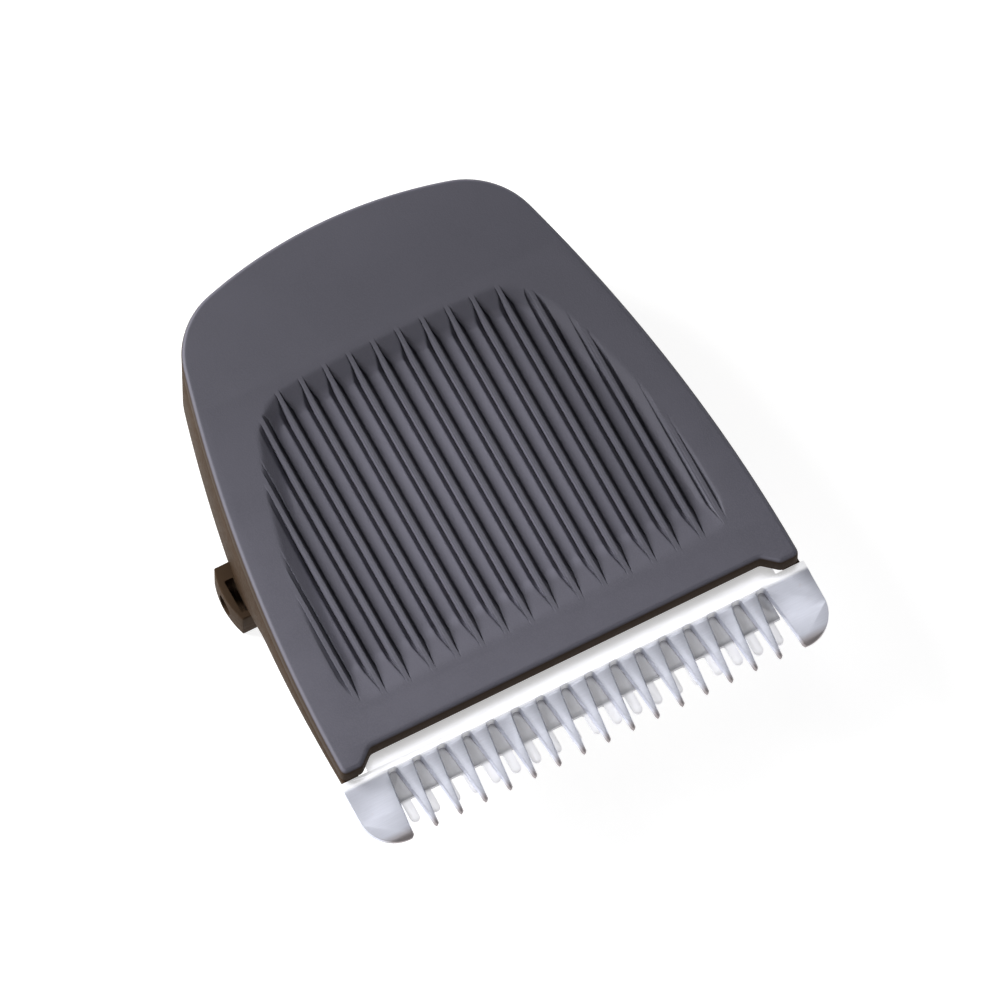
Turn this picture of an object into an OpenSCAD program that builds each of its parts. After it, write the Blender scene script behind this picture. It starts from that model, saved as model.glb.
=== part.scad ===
// Detachable blade head of a hair clipper.
// Everything is drawn with the face at z = 0, the teeth towards -Y and x = 0 on the centre line.
// rest_on_base() then lifts the whole head so that its lowest point stands at z = 0.

/* [Face cover] */
// Width across the two front feet
cover_w = 47.3; // [40:0.1:57]
// Length from the front feet to the rear edge
cover_l = 50; // [42:0.5:60]
// Thickness of the face plate
cover_t = 2; // [1.9:0.1:2.6]
// Radius of the bowed sides
side_bow_r = 164; // [140:1:220]
// Radius of the bowed rear edge
rear_bow_r = 45; // [40:1:60]
// Radius of the two rear corners
rear_corner_r = 8; // [5:0.5:10]
// How far the rounding of the face's rim reaches in and down
rim_round = 0.5; // [0.2:0.05:0.8]
// How far the mouth between the feet is set back
mouth_set_back = 1.3; // [0.6:0.1:2]
// Width of each front foot
foot_w = 2; // [1.5:0.1:2.5]

/* [Ribbed scoop] */
// Plain margin between the scoop and the rear edge
scoop_rear_gap = 12.95; // [11:0.05:15]
// Plain margin between the scoop and the front feet
scoop_front_gap = 5.6; // [5:0.1:8]
// Plain margin between the scoop and the sides, at the front
scoop_side_gap = 3.85; // [3:0.1:5]
// Radius of the scoop's bowed sides
scoop_side_r = 66; // [60:1:90]
// Depth of the scoop's floor below the face
scoop_depth = 0.85; // [0.5:0.05:1]
// Extra depth of the grooves beside each rib
groove_depth = 0.65; // [0.3:0.05:0.8]
// Width of the groove on each side of a rib
groove_w = 0.45; // [0.3:0.05:0.6]
// Thickness of a rib
rib_t = 0.4; // [0.3:0.05:0.6]

/* [Guard blade] */
// Distance between neighbouring teeth of the guard
tooth_pitch = 2.54; // [2:0.02:3]
// Reach of the teeth in front of the feet
tooth_reach = 7.5; // [6.5:0.1:9]
// Thickness of the guard
guard_t = 0.8; // [0.6:0.05:1.2]
// How far each rounded end lobe stands out beyond the cover
lobe_proud = 0.35; // [0.2:0.05:1]
// Least width kept for an end lobe
lobe_min_w = 3.6; // [3:0.1:5]
// Thickness left at the tip of a tooth
tip_t = 0.45; // [0.3:0.05:0.6]

/* [Moving cutter] */
// Distance between neighbouring teeth of the cutter
cutter_pitch = 2.09; // [1.9:0.01:2.6]
// Width of a cutter tooth
cutter_tooth_w = 0.95; // [0.8:0.05:1.1]
// Thickness of the cutter
cutter_t = 0.6; // [0.5:0.05:0.9]
// How far the cutter's tips stay behind the guard's tips
cutter_set_back = 1.35; // [1:0.05:2.5]
// Where the cutter stands at rest, off the centre line
cutter_rest_x = -0.42; // [-1.2:0.01:1.2]
// Gap between the cutter and the guard
slide_gap = 0.03; // [0.02:0.01:0.06]

/* [Drive] */
// Width of the slot that takes the eccentric drive pin
drive_slot_w = 3.4; // [3:0.1:3.9]
// Thickness of each prong beside the slot
prong_t = 1.8; // [1.4:0.1:2.4]
// Length of the slot
drive_slot_l = 5.5; // [4.5:0.1:6]
// Diameter of the spring wire
wire_d = 0.6; // [0.5:0.05:0.7]
// Mean radius of the spring coils
coil_r = 1.57; // [1.4:0.01:1.7]
// Whole turns of each spring
coil_turns = 3; // [2:1:3]

/* [Frame] */
// Thickness of the side and rear walls
wall_t = 1.6; // [1.2:0.1:2]
// Depth of the wall's underside below the face, in the rear half
wall_depth = 10.6; // [9:0.1:13]
// Depth of the wall's underside below the face, at the front feet
nose_depth = 3.3; // [3:0.1:4]
// Thickness of the deck under the face plate
deck_t = 1.2; // [1:0.1:1.6]
// Depth of the clip arms' underside below the face
arm_depth = 13.2; // [12:0.1:15.8]
// How far a clip arm stands out beyond the cover
arm_proud = 1.55; // [1.2:0.05:2]
// Distance of the clip arms' middle behind the front feet
arm_y = 24.4; // [21:0.1:27]
// Radius of the snap hole through each clip arm
snap_hole_r = 1; // [0.8:0.05:1.3]

/* [Hidden] */
$fn = 48;

// Colours
charcoal = [0.23, 0.225, 0.26];
soot = [0.13, 0.115, 0.11];
steel = [0.82, 0.82, 0.86];
dark_steel = [0.55, 0.56, 0.6];
ivory = [0.82, 0.81, 0.77];
brass = [0.7, 0.68, 0.62];

// Overall box and the lift that stands the head on its base
mid_y = (cover_l - tooth_reach) / 2;

// How far one merged shape runs into the next
lap = 0.2;

// Levels, measured down from the face
guard_top = -cover_t;
guard_low = guard_top - guard_t;
cutter_top = guard_low - slide_gap;
cutter_low = cutter_top - cutter_t;
carrier_t = 1.87;
carrier_low = cutter_low - carrier_t;
clamp_t = 2.2;
clamp_low = guard_low - clamp_t;
deck_low = -cover_t - deck_t;

// Places along the head
cutter_rear = 7.6;
clamp_front = cutter_rear + 0.1;
clamp_l = 5.7;
clamp_rear = clamp_front + clamp_l;
deck_front = clamp_rear + 1.1;
clamp_mid = clamp_front + clamp_l / 2;
carrier_front = -0.5;
carrier_l = 7.9;
bevel_y = -1.15;

// Half widths
guard_half = cover_w / 2 + lobe_proud;
body_half = side_x(deck_front) - wall_t - 0.3;
clamp_half = body_half - 1;
cutter_half = guard_half - 4;
carrier_half = cutter_half - 4;
gap_pairs = floor((guard_half - lobe_min_w) / tooth_pitch);
cutter_side_teeth = floor((cutter_half - cutter_tooth_w / 2) / cutter_pitch);

// Screws, pins and rivets
screw_x = clamp_half - 4;
screw_r = 0.9;
screw_head_r = 2.5;
screw_head_t = 1.1;
boss_r = 2;
boss_gap = 0.1;
shank_l = 2.4;
cross_l = 2.8;
cross_w = 0.6;
clamp_pocket = [2.2, 3.2, 1];
pin_x = 5.6;
pin_r = 0.75;
rivet_x = carrier_half - 2.8;
rivet_y = 3.2;
rivet_r = 1.1;
rivet_head = [rivet_r + 0.4, 0.6];
rear_screw = [9.5, cover_l - 7.5];

// Springs
wire_r = wire_d / 2;
leg_gap = 0.03;
coil_x = rivet_x - 4.8;
coil_pitch = wire_d + 0.06;
coil_y = deck_front + 2.4;
leg_z = carrier_low - leg_gap - wire_r;
coil_z = leg_z - coil_r;
leg_tip_y = 3.6;
seat = [5, 3, 0.3];
seat_y = leg_tip_y + 0.4;
axle_r = coil_r - wire_r - 0.3;
ear_t = 0.9;
ear_half = 1.7;
ear_gap = 0.15;
coil_len = (coil_turns + 1) * coil_pitch + wire_d;
ear_low = coil_x - wire_r - ear_gap - ear_t;
ear_high = coil_x + coil_len + ear_gap;

// Fork
fork_half = drive_slot_w / 2 + prong_t;
fork_front = 1.6;
fork_rear = 12.4;
fork_bridge = 1.4;
fork_plate_t = 1.2;
fork_low = carrier_low - fork_plate_t - 2.7;
stake_r = 0.7;
stake_x = 2.4;
stake_y = 3.4;
cutter_window = [16, 2];

// Clip arms
arm_bow_r = 9;
arm_half_l = 2.9;
arm_front = arm_y - arm_half_l;
arm_h = 3.6;
arm_skin = 0.7;
arm_slot_w = 0.9;
arm_bridge = 1.6;
arm_lip = 0.7;
arm_floor = 0.4;
snap_hole_up = 1.5;

// Points of the wall's lower edge in the side view
nose_end = [5.5, -nose_depth - 0.7];
haunch = [arm_y - 6.7, -(nose_depth + wall_depth) * 0.46];

// Rear catch and deck ribs
catch_half_w = 5;
deck_rib_t = 1;

// Outline helpers: arcs as point lists, and a three-arc shield outline
function arc(c, r, a0, a1, n) =
    [for (i = [0:n]) let (turn = a0 + (a1 - a0) * i / n) c + r * [cos(turn), sin(turn)]];
function angle_of(v) = atan2(v.y, v.x);
function mirrored(points) = [for (i = [len(points) - 1:-1:0]) [-points[i].x, points[i].y]];
function circles_meet(a, ra, b, rb) =
    let (d = norm(b - a), along = (ra * ra - rb * rb + d * d) / (2 * d), dir = (b - a) / d)
    a + along * dir + sqrt(ra * ra - along * along) * [-dir.y, dir.x];
function shield(half_w, front_y, rear_y, side_r, side_y, rear_r, corner_r) =
    let (sc = [half_w - side_r, side_y],
         rc = [0, rear_y - rear_r],
         cc = circles_meet(sc, side_r - corner_r, rc, rear_r - corner_r),
         a_front = asin((front_y - side_y) / side_r),
         a_side = angle_of(cc - sc),
         a_rear = angle_of(cc - rc),
         right = concat(arc(sc, side_r, a_front, a_side, 10),
                        [for (i = [1:11]) cc + corner_r * [cos(a_side + (a_rear - a_side) * i / 12),
                                                           sin(a_side + (a_rear - a_side) * i / 12)]],
                        arc(rc, rear_r, a_rear, 90, 6)))
    concat(right, [for (i = [1:len(right) - 1]) mirrored(right)[i]]);
function cover_outline(inset, front_y) =
    shield(cover_w / 2 - inset, front_y, cover_l - inset, side_bow_r - inset, 0, rear_bow_r - inset,
           rear_corner_r - inset);
function side_x(y) = cover_w / 2 - side_bow_r + sqrt(side_bow_r * side_bow_r - y * y);
function scoop_outline(side_in, front_in, rear_in) =
    shield(cover_w / 2 - scoop_side_gap - side_in, scoop_front_gap + front_in,
           cover_l - scoop_rear_gap - rear_in,
           scoop_side_r - side_in, scoop_front_gap + 2.9, 150 - rear_in, 2.9);

// A thin slice of an outline, used to build hulls
module slice(points, z) {
    translate([0, 0, z]) linear_extrude(0.01) polygon(points);
}

// A prism from z0 up to z1
module prism(z0, z1) {
    translate([0, 0, z0]) linear_extrude(z1 - z0) children();
}

// A shape drawn in the side view, [y, z], and spread along X between x0 and x1
module side_prism(x0, x1) {
    translate([x0, 0, 0]) rotate([90, 0, 90]) linear_extrude(x1 - x0) children();
}

module rest_on_base() {
    translate([0, -mid_y, arm_depth]) children();
}

// side = -1 is left, 1 is right
module at_side(side, x, y, z = 0) {
    translate([side * x, y, z]) children();
}

// Scoop in the face, with the floor at the given depth
module scoop(depth) {
    hull() {
        slice(scoop_outline(0, 0, 0), -0.001);
        slice(scoop_outline(2, 4, 2.65), -depth);
    }
}

module rib_lines(half_t) {
    for (i = [-gap_pairs:gap_pairs - 1]) {
        x = (i + 0.5) * tooth_pitch;
        prism(-cover_t, 1) polygon([
            [x - half_t, cover_l], [x - half_t, scoop_front_gap + 2.9], [x - rib_t / 2, scoop_front_gap],
            [x + rib_t / 2, scoop_front_gap], [x + half_t, scoop_front_gap + 2.9], [x + half_t, cover_l]
        ]);
    }
}

module ribbed_recess() {
    difference() {
        union() {
            scoop(scoop_depth);
            intersection() {
                scoop(scoop_depth + groove_depth);
                rib_lines(rib_t / 2 + groove_w);
            }
        }
        rib_lines(rib_t / 2);
    }
}

module boss(low) {
    difference() {
        prism(low, -cover_t + lap) circle(boss_r);
        prism(low - 1, 0) circle(screw_r);
    }
}

module face_cover() {
    color(charcoal) rest_on_base() {
        difference() {
            union() {
                prism(-cover_t, -rim_round) polygon(cover_outline(0, 0));
                hull() {
                    slice(cover_outline(0, 0), -rim_round - 0.01);
                    slice(cover_outline(rim_round * 0.3, 0), -rim_round * 0.3 - 0.01);
                    slice(cover_outline(rim_round, rim_round * 0.6), -0.01);
                }
            }
            ribbed_recess();
            prism(-cover_t - 1, 1) polygon([
                [-cover_w / 2 + foot_w, -1], [-cover_w / 2 + foot_w, 0],
                [-cover_w / 2 + foot_w + 1.5, mouth_set_back], [cover_w / 2 - foot_w - 1.5, mouth_set_back],
                [cover_w / 2 - foot_w, 0], [cover_w / 2 - foot_w, -1]
            ]);
            for (side = [-1, 1]) {
                at_side(side, rear_screw.x, rear_screw.y) prism(-cover_t - 1, -0.5) circle(screw_r);
            }
        }
        for (side = [-1, 1]) {
            at_side(side, screw_x, clamp_mid) boss(clamp_low);
            at_side(side, rear_screw.x, rear_screw.y) boss(deck_low);
        }
    }
}

// Side view of the wall: shallow at the nose, full depth in the rear half
module wall_profile() {
    polygon([
        [-1, -cover_t], [-1, -nose_depth], nose_end, haunch, [arm_y - 0.4, -wall_depth],
        [cover_l + 1, -wall_depth], [cover_l + 1, -cover_t]
    ]);
}

// A clip: a leg of the wall and an outer skin around a pocket open at the top, snap hole through both
module clip_arm() {
    outer = side_x(arm_y) + arm_proud;
    slot_out = outer - arm_skin;
    slot_in = slot_out - arm_slot_w;
    root_in = slot_in - wall_t;
    arm_top = -arm_depth + arm_h;
    difference() {
        prism(-arm_depth, arm_top) intersection() {
            translate([outer - arm_bow_r, arm_y]) circle(arm_bow_r, $fn = 120);
            translate([root_in, arm_front]) square([arm_bow_r, 2 * arm_half_l]);
        }
        prism(-arm_depth + arm_floor, arm_top + 1) translate([slot_in, arm_front + arm_lip])
            square([arm_slot_w, 2 * arm_half_l - arm_lip - arm_bridge]);
        translate([root_in - 1, arm_y, -arm_depth + snap_hole_up]) rotate([0, 90, 0])
            cylinder(r = snap_hole_r, h = wall_t + arm_slot_w + arm_skin + 2);
    }
}

module spring_ears() {
    for (x = [ear_low, ear_high]) {
        difference() {
            side_prism(x, x + ear_t) polygon([
                [coil_y - ear_half, deck_low + lap], [coil_y - ear_half, coil_z - ear_half],
                [coil_y + ear_half, coil_z - ear_half], [coil_y + ear_half, deck_low + lap]
            ]);
            translate([x - 1, coil_y, coil_z]) rotate([0, 90, 0]) cylinder(r = axle_r, h = ear_t + 2);
        }
    }
}

// Hook under the rear wall, drawn in the side view from the wall's outer lower edge
module rear_catch() {
    translate([0, cover_l, -wall_depth]) side_prism(-catch_half_w, catch_half_w) polygon([
        [-1.4, 2], [-0.45, 2], [-0.45, -1.8], [-0.9, -2.2], [-2.3, -1.4], [-2.3, -0.6], [-1.4, -0.3]
    ]);
}

// Stiffening rib across the underside of the deck
module deck_rib(y) {
    half = side_x(y) - wall_t / 2;
    prism(deck_low - deck_rib_t, deck_low + lap) translate([-half, y]) square([2 * half, deck_rib_t]);
}

module frame() {
    color(soot) rest_on_base() difference() {
        union() {
            intersection() {
                prism(-wall_depth - 1, -cover_t) difference() {
                    polygon(cover_outline(0, 0));
                    polygon(cover_outline(wall_t, -5));
                }
                side_prism(-cover_w, cover_w) wall_profile();
            }
            intersection() {
                prism(deck_low, -cover_t) polygon(cover_outline(wall_t / 2, 0));
                prism(deck_low - 1, 0) translate([-cover_w, deck_front]) square([2 * cover_w, cover_l]);
            }
            for (y = [coil_y + 5, cover_l - 13]) {
                deck_rib(y);
            }
            for (side = [0, 1]) {
                mirror([side, 0, 0]) {
                    clip_arm();
                    spring_ears();
                }
            }
            rear_catch();
        }
        for (side = [-1, 1]) {
            at_side(side, rear_screw.x, rear_screw.y) prism(deck_low - 1, 0) circle(boss_r + boss_gap);
        }
    }
}

// Plan of one gap between guard teeth
module guard_gap() {
    root_r = 0.45;
    middle = [0.8, -4];
    mouth = [1.1, -tooth_reach];
    right = [[root_r, bevel_y], middle, mouth, [mouth.x, mouth.y - 1]];
    translate([0, bevel_y]) circle(root_r);
    polygon(concat(right, mirrored(right)));
}

module guard_plan() {
    lobe_r = 3.4;
    lobe_y = lobe_r - tooth_reach;
    difference() {
        union() {
            translate([-body_half, -1]) square([2 * body_half, clamp_rear + 1]);
            translate([-guard_half + lobe_r, -tooth_reach]) square([2 * (guard_half - lobe_r), tooth_reach]);
            for (side = [-1, 1]) {
                translate([side * (guard_half - lobe_r), lobe_y]) circle(lobe_r);
                translate([side * (guard_half - lobe_r / 2 - 0.1) - lobe_r / 2, lobe_y])
                    square([lobe_r, -lobe_y]);
            }
        }
        for (i = [-gap_pairs:gap_pairs - 1]) {
            translate([(i + 0.5) * tooth_pitch, 0]) guard_gap();
        }
        for (side = [-1, 1]) {
            at_side(side, screw_x, clamp_mid) circle(boss_r + boss_gap);
            at_side(side, pin_x, clamp_mid) circle(pin_r);
        }
    }
}

module guard_blade() {
    color(steel) rest_on_base() difference() {
        prism(guard_low, guard_top) guard_plan();
        side_prism(-guard_half - 1, guard_half + 1) polygon([
            [bevel_y, guard_top + 1], [bevel_y, guard_top], [-tooth_reach, guard_low + tip_t],
            [-tooth_reach - 1, guard_low + tip_t - 0.05], [-tooth_reach - 1, guard_top + 1]
        ]);
    }
}

module blade_clamp() {
    color(soot) rest_on_base() difference() {
        prism(clamp_low, guard_low) translate([-clamp_half, clamp_front]) square([2 * clamp_half, clamp_l]);
        for (side = [-1, 1]) {
            at_side(side, screw_x, clamp_mid) prism(clamp_low - 1, 0) circle(boss_r + boss_gap);
            at_side(side, pin_x, clamp_mid) prism(clamp_low - 1, 0) circle(pin_r);
        }
        for (i = [-1:1]) {
            prism(clamp_low - 1, clamp_low + clamp_pocket.z) translate([i * (clamp_pocket.x + 1), clamp_mid])
                square([clamp_pocket.x, clamp_pocket.y], center = true);
        }
    }
}

// Pan-head screw: the head's underside is at z = 0 and the shank goes up
module screw() {
    difference() {
        union() {
            prism(-screw_head_t, 0) circle(screw_head_r);
            prism(-0.1, shank_l) circle(screw_r);
        }
        for (turn = [0, 90]) {
            rotate(turn) prism(-screw_head_t - 1, -screw_head_t + cross_w)
                square([cross_l, cross_w], center = true);
        }
    }
}

module clamp_screw(side) {
    color(dark_steel) rest_on_base() at_side(side, screw_x, clamp_mid, clamp_low) screw();
}

module frame_screw(side) {
    color(dark_steel) rest_on_base() at_side(side, rear_screw.x, rear_screw.y, deck_low) screw();
}

module locating_pin(side) {
    color(dark_steel) rest_on_base() at_side(side, pin_x, clamp_mid)
        prism(clamp_low, guard_top) circle(pin_r);
}

module cutter_plan() {
    tip_y = -tooth_reach + cutter_set_back;
    tooth_l = 2.35;
    root_y = tip_y + tooth_l;
    difference() {
        union() {
            translate([-cutter_half, root_y]) square([2 * cutter_half, cutter_rear - root_y]);
            for (i = [-cutter_side_teeth:cutter_side_teeth]) {
                translate([i * cutter_pitch, tip_y + cutter_tooth_w / 2]) {
                    circle(cutter_tooth_w / 2);
                    translate([-cutter_tooth_w / 2, 0]) square([cutter_tooth_w, tooth_l]);
                }
            }
        }
        for (side = [-1, 1]) {
            at_side(side, rivet_x, rivet_y) circle(rivet_r);
        }
        translate([0, rivet_y]) square([cutter_window.x, cutter_window.y], center = true);
    }
}

module with_cutter() {
    rest_on_base() translate([cutter_rest_x, 0, 0]) children();
}

module cutter_blade() {
    color(dark_steel) with_cutter() prism(cutter_low, cutter_top) cutter_plan();
}

module cutter_carrier() {
    color(ivory) with_cutter() {
        difference() {
            prism(carrier_low, cutter_low) translate([-carrier_half, carrier_front])
                square([2 * carrier_half, carrier_l]);
            for (side = [-1, 1]) {
                at_side(side, rivet_x, rivet_y) prism(carrier_low - 1, 0) circle(rivet_r);
                at_side(side, coil_x, seat_y) prism(carrier_low - 1, carrier_low + seat.z)
                    square([seat.x, seat.y], center = true);
            }
        }
        for (side = [-1, 1]) {
            at_side(side, stake_x, stake_y)
                prism(carrier_low - fork_plate_t, carrier_low + lap) circle(stake_r);
        }
    }
}

module spring_seat(side) {
    color(steel) with_cutter() at_side(side, coil_x, seat_y) prism(carrier_low, carrier_low + seat.z)
        square([seat.x, seat.y], center = true);
}

module carrier_rivet(side) {
    color(brass) with_cutter() at_side(side, rivet_x, rivet_y) {
        prism(carrier_low, cutter_top - slide_gap) circle(rivet_r);
        prism(carrier_low - rivet_head.y, carrier_low) circle(rivet_head.x);
    }
}

module drive_fork() {
    color(soot) with_cutter() difference() {
        union() {
            prism(carrier_low - fork_plate_t, carrier_low) translate([-fork_half, fork_front])
                square([2 * fork_half, fork_rear - fork_front]);
            prism(fork_low, carrier_low) translate([-fork_half, fork_rear - drive_slot_l - fork_bridge])
                square([2 * fork_half, drive_slot_l + fork_bridge]);
        }
        prism(fork_low - 1, 0) translate([-drive_slot_w / 2, fork_rear - drive_slot_l])
            square([drive_slot_w, drive_slot_l + 1]);
        for (side = [-1, 1]) {
            at_side(side, stake_x, stake_y) prism(fork_low - 1, 0) circle(stake_r);
        }
    }
}

// Route of a spring wire: front leg, coil about X, then the short leg up to the deck
function coil_point(turn, x) = [x, coil_y + coil_r * sin(turn), coil_z + coil_r * cos(turn)];
coil_end = coil_turns * 360 + 300;
coil_steps = (coil_turns + 1) * 12;
short_leg = (deck_low - 0.03 - wire_r - coil_z - coil_r * cos(coil_end)) / sin(60);
wire_route = concat(
    [[coil_x, leg_tip_y, leg_z], [coil_x, coil_y - 4, leg_z]],
    [for (i = [0:coil_steps]) let (f = i / coil_steps)
        coil_point(f * coil_end, coil_x + f * (coil_len - wire_d))],
    [coil_point(coil_end, coil_x + coil_len - wire_d) + short_leg * [0, cos(60), sin(60)]]
);

// Sweep a round section along a route
function unit(v) = v / norm(v);
function route_dir(route, i) =
    unit(route[min(i + 1, len(route) - 1)] - route[max(i - 1, 0)]);
function ring(centre, dir, r, sides) =
    let (u = unit(cross(dir, [1, 0.001, 0.002])), v = cross(dir, u))
    [for (s = [0:sides - 1]) centre + r * (cos(s * 360 / sides) * u + sin(s * 360 / sides) * v)];
module sweep(route, r, sides = 8) {
    n = len(route);
    points = [for (i = [0:n - 1]) each ring(route[i], route_dir(route, i), r, sides)];
    faces = concat(
        [[for (s = [0:sides - 1]) s]],
        [for (i = [0:n - 2], s = [0:sides - 1])
            let (a = i * sides, next = (s + 1) % sides)
            [a + s, a + sides + s, a + sides + next, a + next]],
        [[for (s = [sides - 1:-1:0]) (n - 1) * sides + s]]
    );
    polyhedron(points, faces, convexity = 6);
}

module leg_spring(side) {
    color(steel) rest_on_base() mirror([side < 0 ? 1 : 0, 0, 0]) sweep(wire_route, wire_r);
}

module spring_pin(side) {
    color(dark_steel) rest_on_base() mirror([side < 0 ? 1 : 0, 0, 0]) translate([ear_low, coil_y, coil_z])
        rotate([0, 90, 0]) cylinder(r = axle_r, h = ear_high + ear_t - ear_low);
}

face_cover();
frame();
guard_blade();
blade_clamp();
clamp_screw(-1);  // clamp_screw_left
clamp_screw(1);  // clamp_screw_right
locating_pin(-1);  // locating_pin_left
locating_pin(1);  // locating_pin_right
frame_screw(-1);  // frame_screw_left
frame_screw(1);  // frame_screw_right
leg_spring(-1);  // leg_spring_left
leg_spring(1);  // leg_spring_right
spring_pin(-1);  // spring_pin_left
spring_pin(1);  // spring_pin_right
cutter_blade();
cutter_carrier();
drive_fork();
carrier_rivet(-1);  // carrier_rivet_left
carrier_rivet(1);  // carrier_rivet_right
spring_seat(-1);  // spring_seat_left
spring_seat(1);  // spring_seat_right
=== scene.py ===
"""Detachable blade head of a hair clipper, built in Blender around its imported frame."""

import math
import functools

import bmesh
import bpy
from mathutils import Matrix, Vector
from mathutils.geometry import tessellate_polygon


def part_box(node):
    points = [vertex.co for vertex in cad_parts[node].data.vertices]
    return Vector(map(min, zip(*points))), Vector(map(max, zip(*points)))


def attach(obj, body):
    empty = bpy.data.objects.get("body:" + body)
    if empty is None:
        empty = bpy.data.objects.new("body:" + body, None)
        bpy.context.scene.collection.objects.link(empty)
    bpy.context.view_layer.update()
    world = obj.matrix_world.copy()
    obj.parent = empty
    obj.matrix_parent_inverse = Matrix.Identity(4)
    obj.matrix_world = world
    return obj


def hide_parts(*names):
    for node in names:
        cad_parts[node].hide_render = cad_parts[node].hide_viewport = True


bl_info = {
    "name": "Clipper blade head",
    "version": (1, 0, 0),
    "blender": (4, 5, 0),
    "location": "3D View > Sidebar > Blade head",
    "description": "Builds the finished pieces and materials of a clipper blade head",
    "category": "Object",
}

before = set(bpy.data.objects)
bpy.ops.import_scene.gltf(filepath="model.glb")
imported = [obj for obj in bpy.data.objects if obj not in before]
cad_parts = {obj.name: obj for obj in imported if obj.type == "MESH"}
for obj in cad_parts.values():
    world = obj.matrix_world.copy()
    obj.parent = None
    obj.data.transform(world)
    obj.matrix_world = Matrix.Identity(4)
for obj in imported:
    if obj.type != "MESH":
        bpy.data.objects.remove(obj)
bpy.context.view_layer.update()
MM = 0.001

# Radii of the holes and places of the fork's stakes, in millimetres
SCREW_BORE_R = 2.1
RIVET_HOLE_R = 1.1
PIN_HOLE_R = 0.75
STAKE_R = 0.7
STAKE_X = 2.4
STAKE_Y = 3.4

# Corners of the face cover's box
COVER_LO, COVER_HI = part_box("face_cover")


# ---------------------------------------------------------------- places

def spot(x, y, z):
    """A place in millimetres, x from the middle, y behind the front feet, z above the face."""
    return Vector((x * MM, COVER_LO.y + y * MM, COVER_HI.z + z * MM))


@functools.lru_cache(maxsize=None)
def reach(node):
    """Lowest and highest corner of a CAD node, as millimetres in the same sense as spot()."""
    corner = spot(0, 0, 0)
    lo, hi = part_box(node)
    return (lo - corner) / MM, (hi - corner) / MM


def flat(u, v, h):
    """Outline in plan, thickness upwards."""
    return spot(u, v, h)


def sideways(u, v, h):
    """Outline in the side view, (y, z), thickness along x."""
    return spot(h, u, v)


# ---------------------------------------------------------------- outlines

def arc(centre, radius, start, end, steps):
    """Points along an arc, angles in degrees."""
    turns = [math.radians(start + (end - start) * i / steps) for i in range(steps + 1)]
    return [(centre[0] + radius * math.cos(t), centre[1] + radius * math.sin(t)) for t in turns]


def ring(centre, radius, steps=32):
    """A closed circle that runs clockwise, as a hole does."""
    return arc(centre, radius, 360, 0, steps)[:-1]


def mirrored(points):
    """The same points on the other side of x = 0, in reversed order."""
    return [(-x, y) for x, y in reversed(points)]


def fillet(points, radius, steps=4, closed=True):
    """Rounds every corner of an outline."""
    rounded_points = []
    last = len(points) - 1
    for i, point in enumerate(points):
        if not closed and i in (0, last):
            rounded_points.append(point)
            continue
        here = Vector(point)
        back = Vector(points[i - 1]) - here
        ahead = Vector(points[(i + 1) % len(points)]) - here
        turn = math.pi - back.angle(ahead)
        cut = min(radius * math.tan(turn / 2), 0.45 * back.length, 0.45 * ahead.length)
        if turn < math.radians(4):
            rounded_points.append(point)
            continue
        start = here + back.normalized() * cut
        end = here + ahead.normalized() * cut
        for k in range(steps + 1):
            s = k / steps
            bend = start * (1 - s) ** 2 + here * (2 * s * (1 - s)) + end * s ** 2
            rounded_points.append((bend.x, bend.y))
    return rounded_points


def box_outline(x0, x1, y0, y1, radius):
    """A rectangle with rounded corners, counterclockwise."""
    return fillet([(x0, y0), (x1, y0), (x1, y1), (x0, y1)], radius)


def inward(loop):
    """For each point of a loop, the step towards the material on its left that insets it by one."""
    steps = []
    for i, point in enumerate(loop):
        before = Vector(point) - Vector(loop[i - 1])
        after = Vector(loop[(i + 1) % len(loop)]) - Vector(point)
        n0 = Vector((-before.y, before.x)).normalized()
        n1 = Vector((-after.y, after.x)).normalized()
        steps.append((n0 + n1) / max(1 + n0.dot(n1), 0.5))
    return steps


def along(points, where):
    """The second coordinate at a first coordinate, on a line of rising points."""
    for (x0, y0), (x1, y1) in zip(points, points[1:]):
        if where <= x1:
            share = (where - x0) / max(x1 - x0, 1e-9)
            return y0 + (y1 - y0) * max(share, 0)
    return points[-1][1]


# ---------------------------------------------------------------- solids

def rounded(top, bottom, radius, steps=3, low_radius=None):
    """Levels, (height, inset), from top to bottom with both edges rounded."""
    low_radius = radius if low_radius is None else low_radius
    quarter = [math.radians(90 * i / steps) for i in range(steps + 1)]
    upper = [(top - radius * (1 - math.cos(a)), radius * (1 - math.sin(a))) for a in quarter]
    lower = [(bottom + low_radius * (1 - math.cos(a)), low_radius * (1 - math.sin(a))) for a in quarter]
    return upper + lower[::-1]


def slab(loops, levels, place=flat, open_top=False):
    """A solid lofted through the levels. The outer loop runs counterclockwise, holes clockwise."""
    verts, faces, starts = [], [], []
    steps = [inward(loop) for loop in loops]
    for height, inset in levels:
        starts.append(len(verts))
        for loop, step in zip(loops, steps):
            verts += [place(x + s.x * inset, y + s.y * inset, height) for (x, y), s in zip(loop, step)]
    for upper, lower in zip(starts, starts[1:]):
        first = 0
        for loop in loops:
            n = len(loop)
            for i in range(n):
                j = first + (i + 1) % n
                faces.append((upper + first + i, lower + first + i, lower + j, upper + j))
            first += n
    for start, (height, inset) in list(zip(starts, levels))[:: len(levels) - 1][int(open_top):]:
        outline = [[Vector((x + s.x * inset, y + s.y * inset, 0)) for (x, y), s in zip(loop, step)]
                   for loop, step in zip(loops, steps)]
        faces += [tuple(start + i for i in triangle) for triangle in tessellate_polygon(outline)]
    return verts, faces


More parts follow.
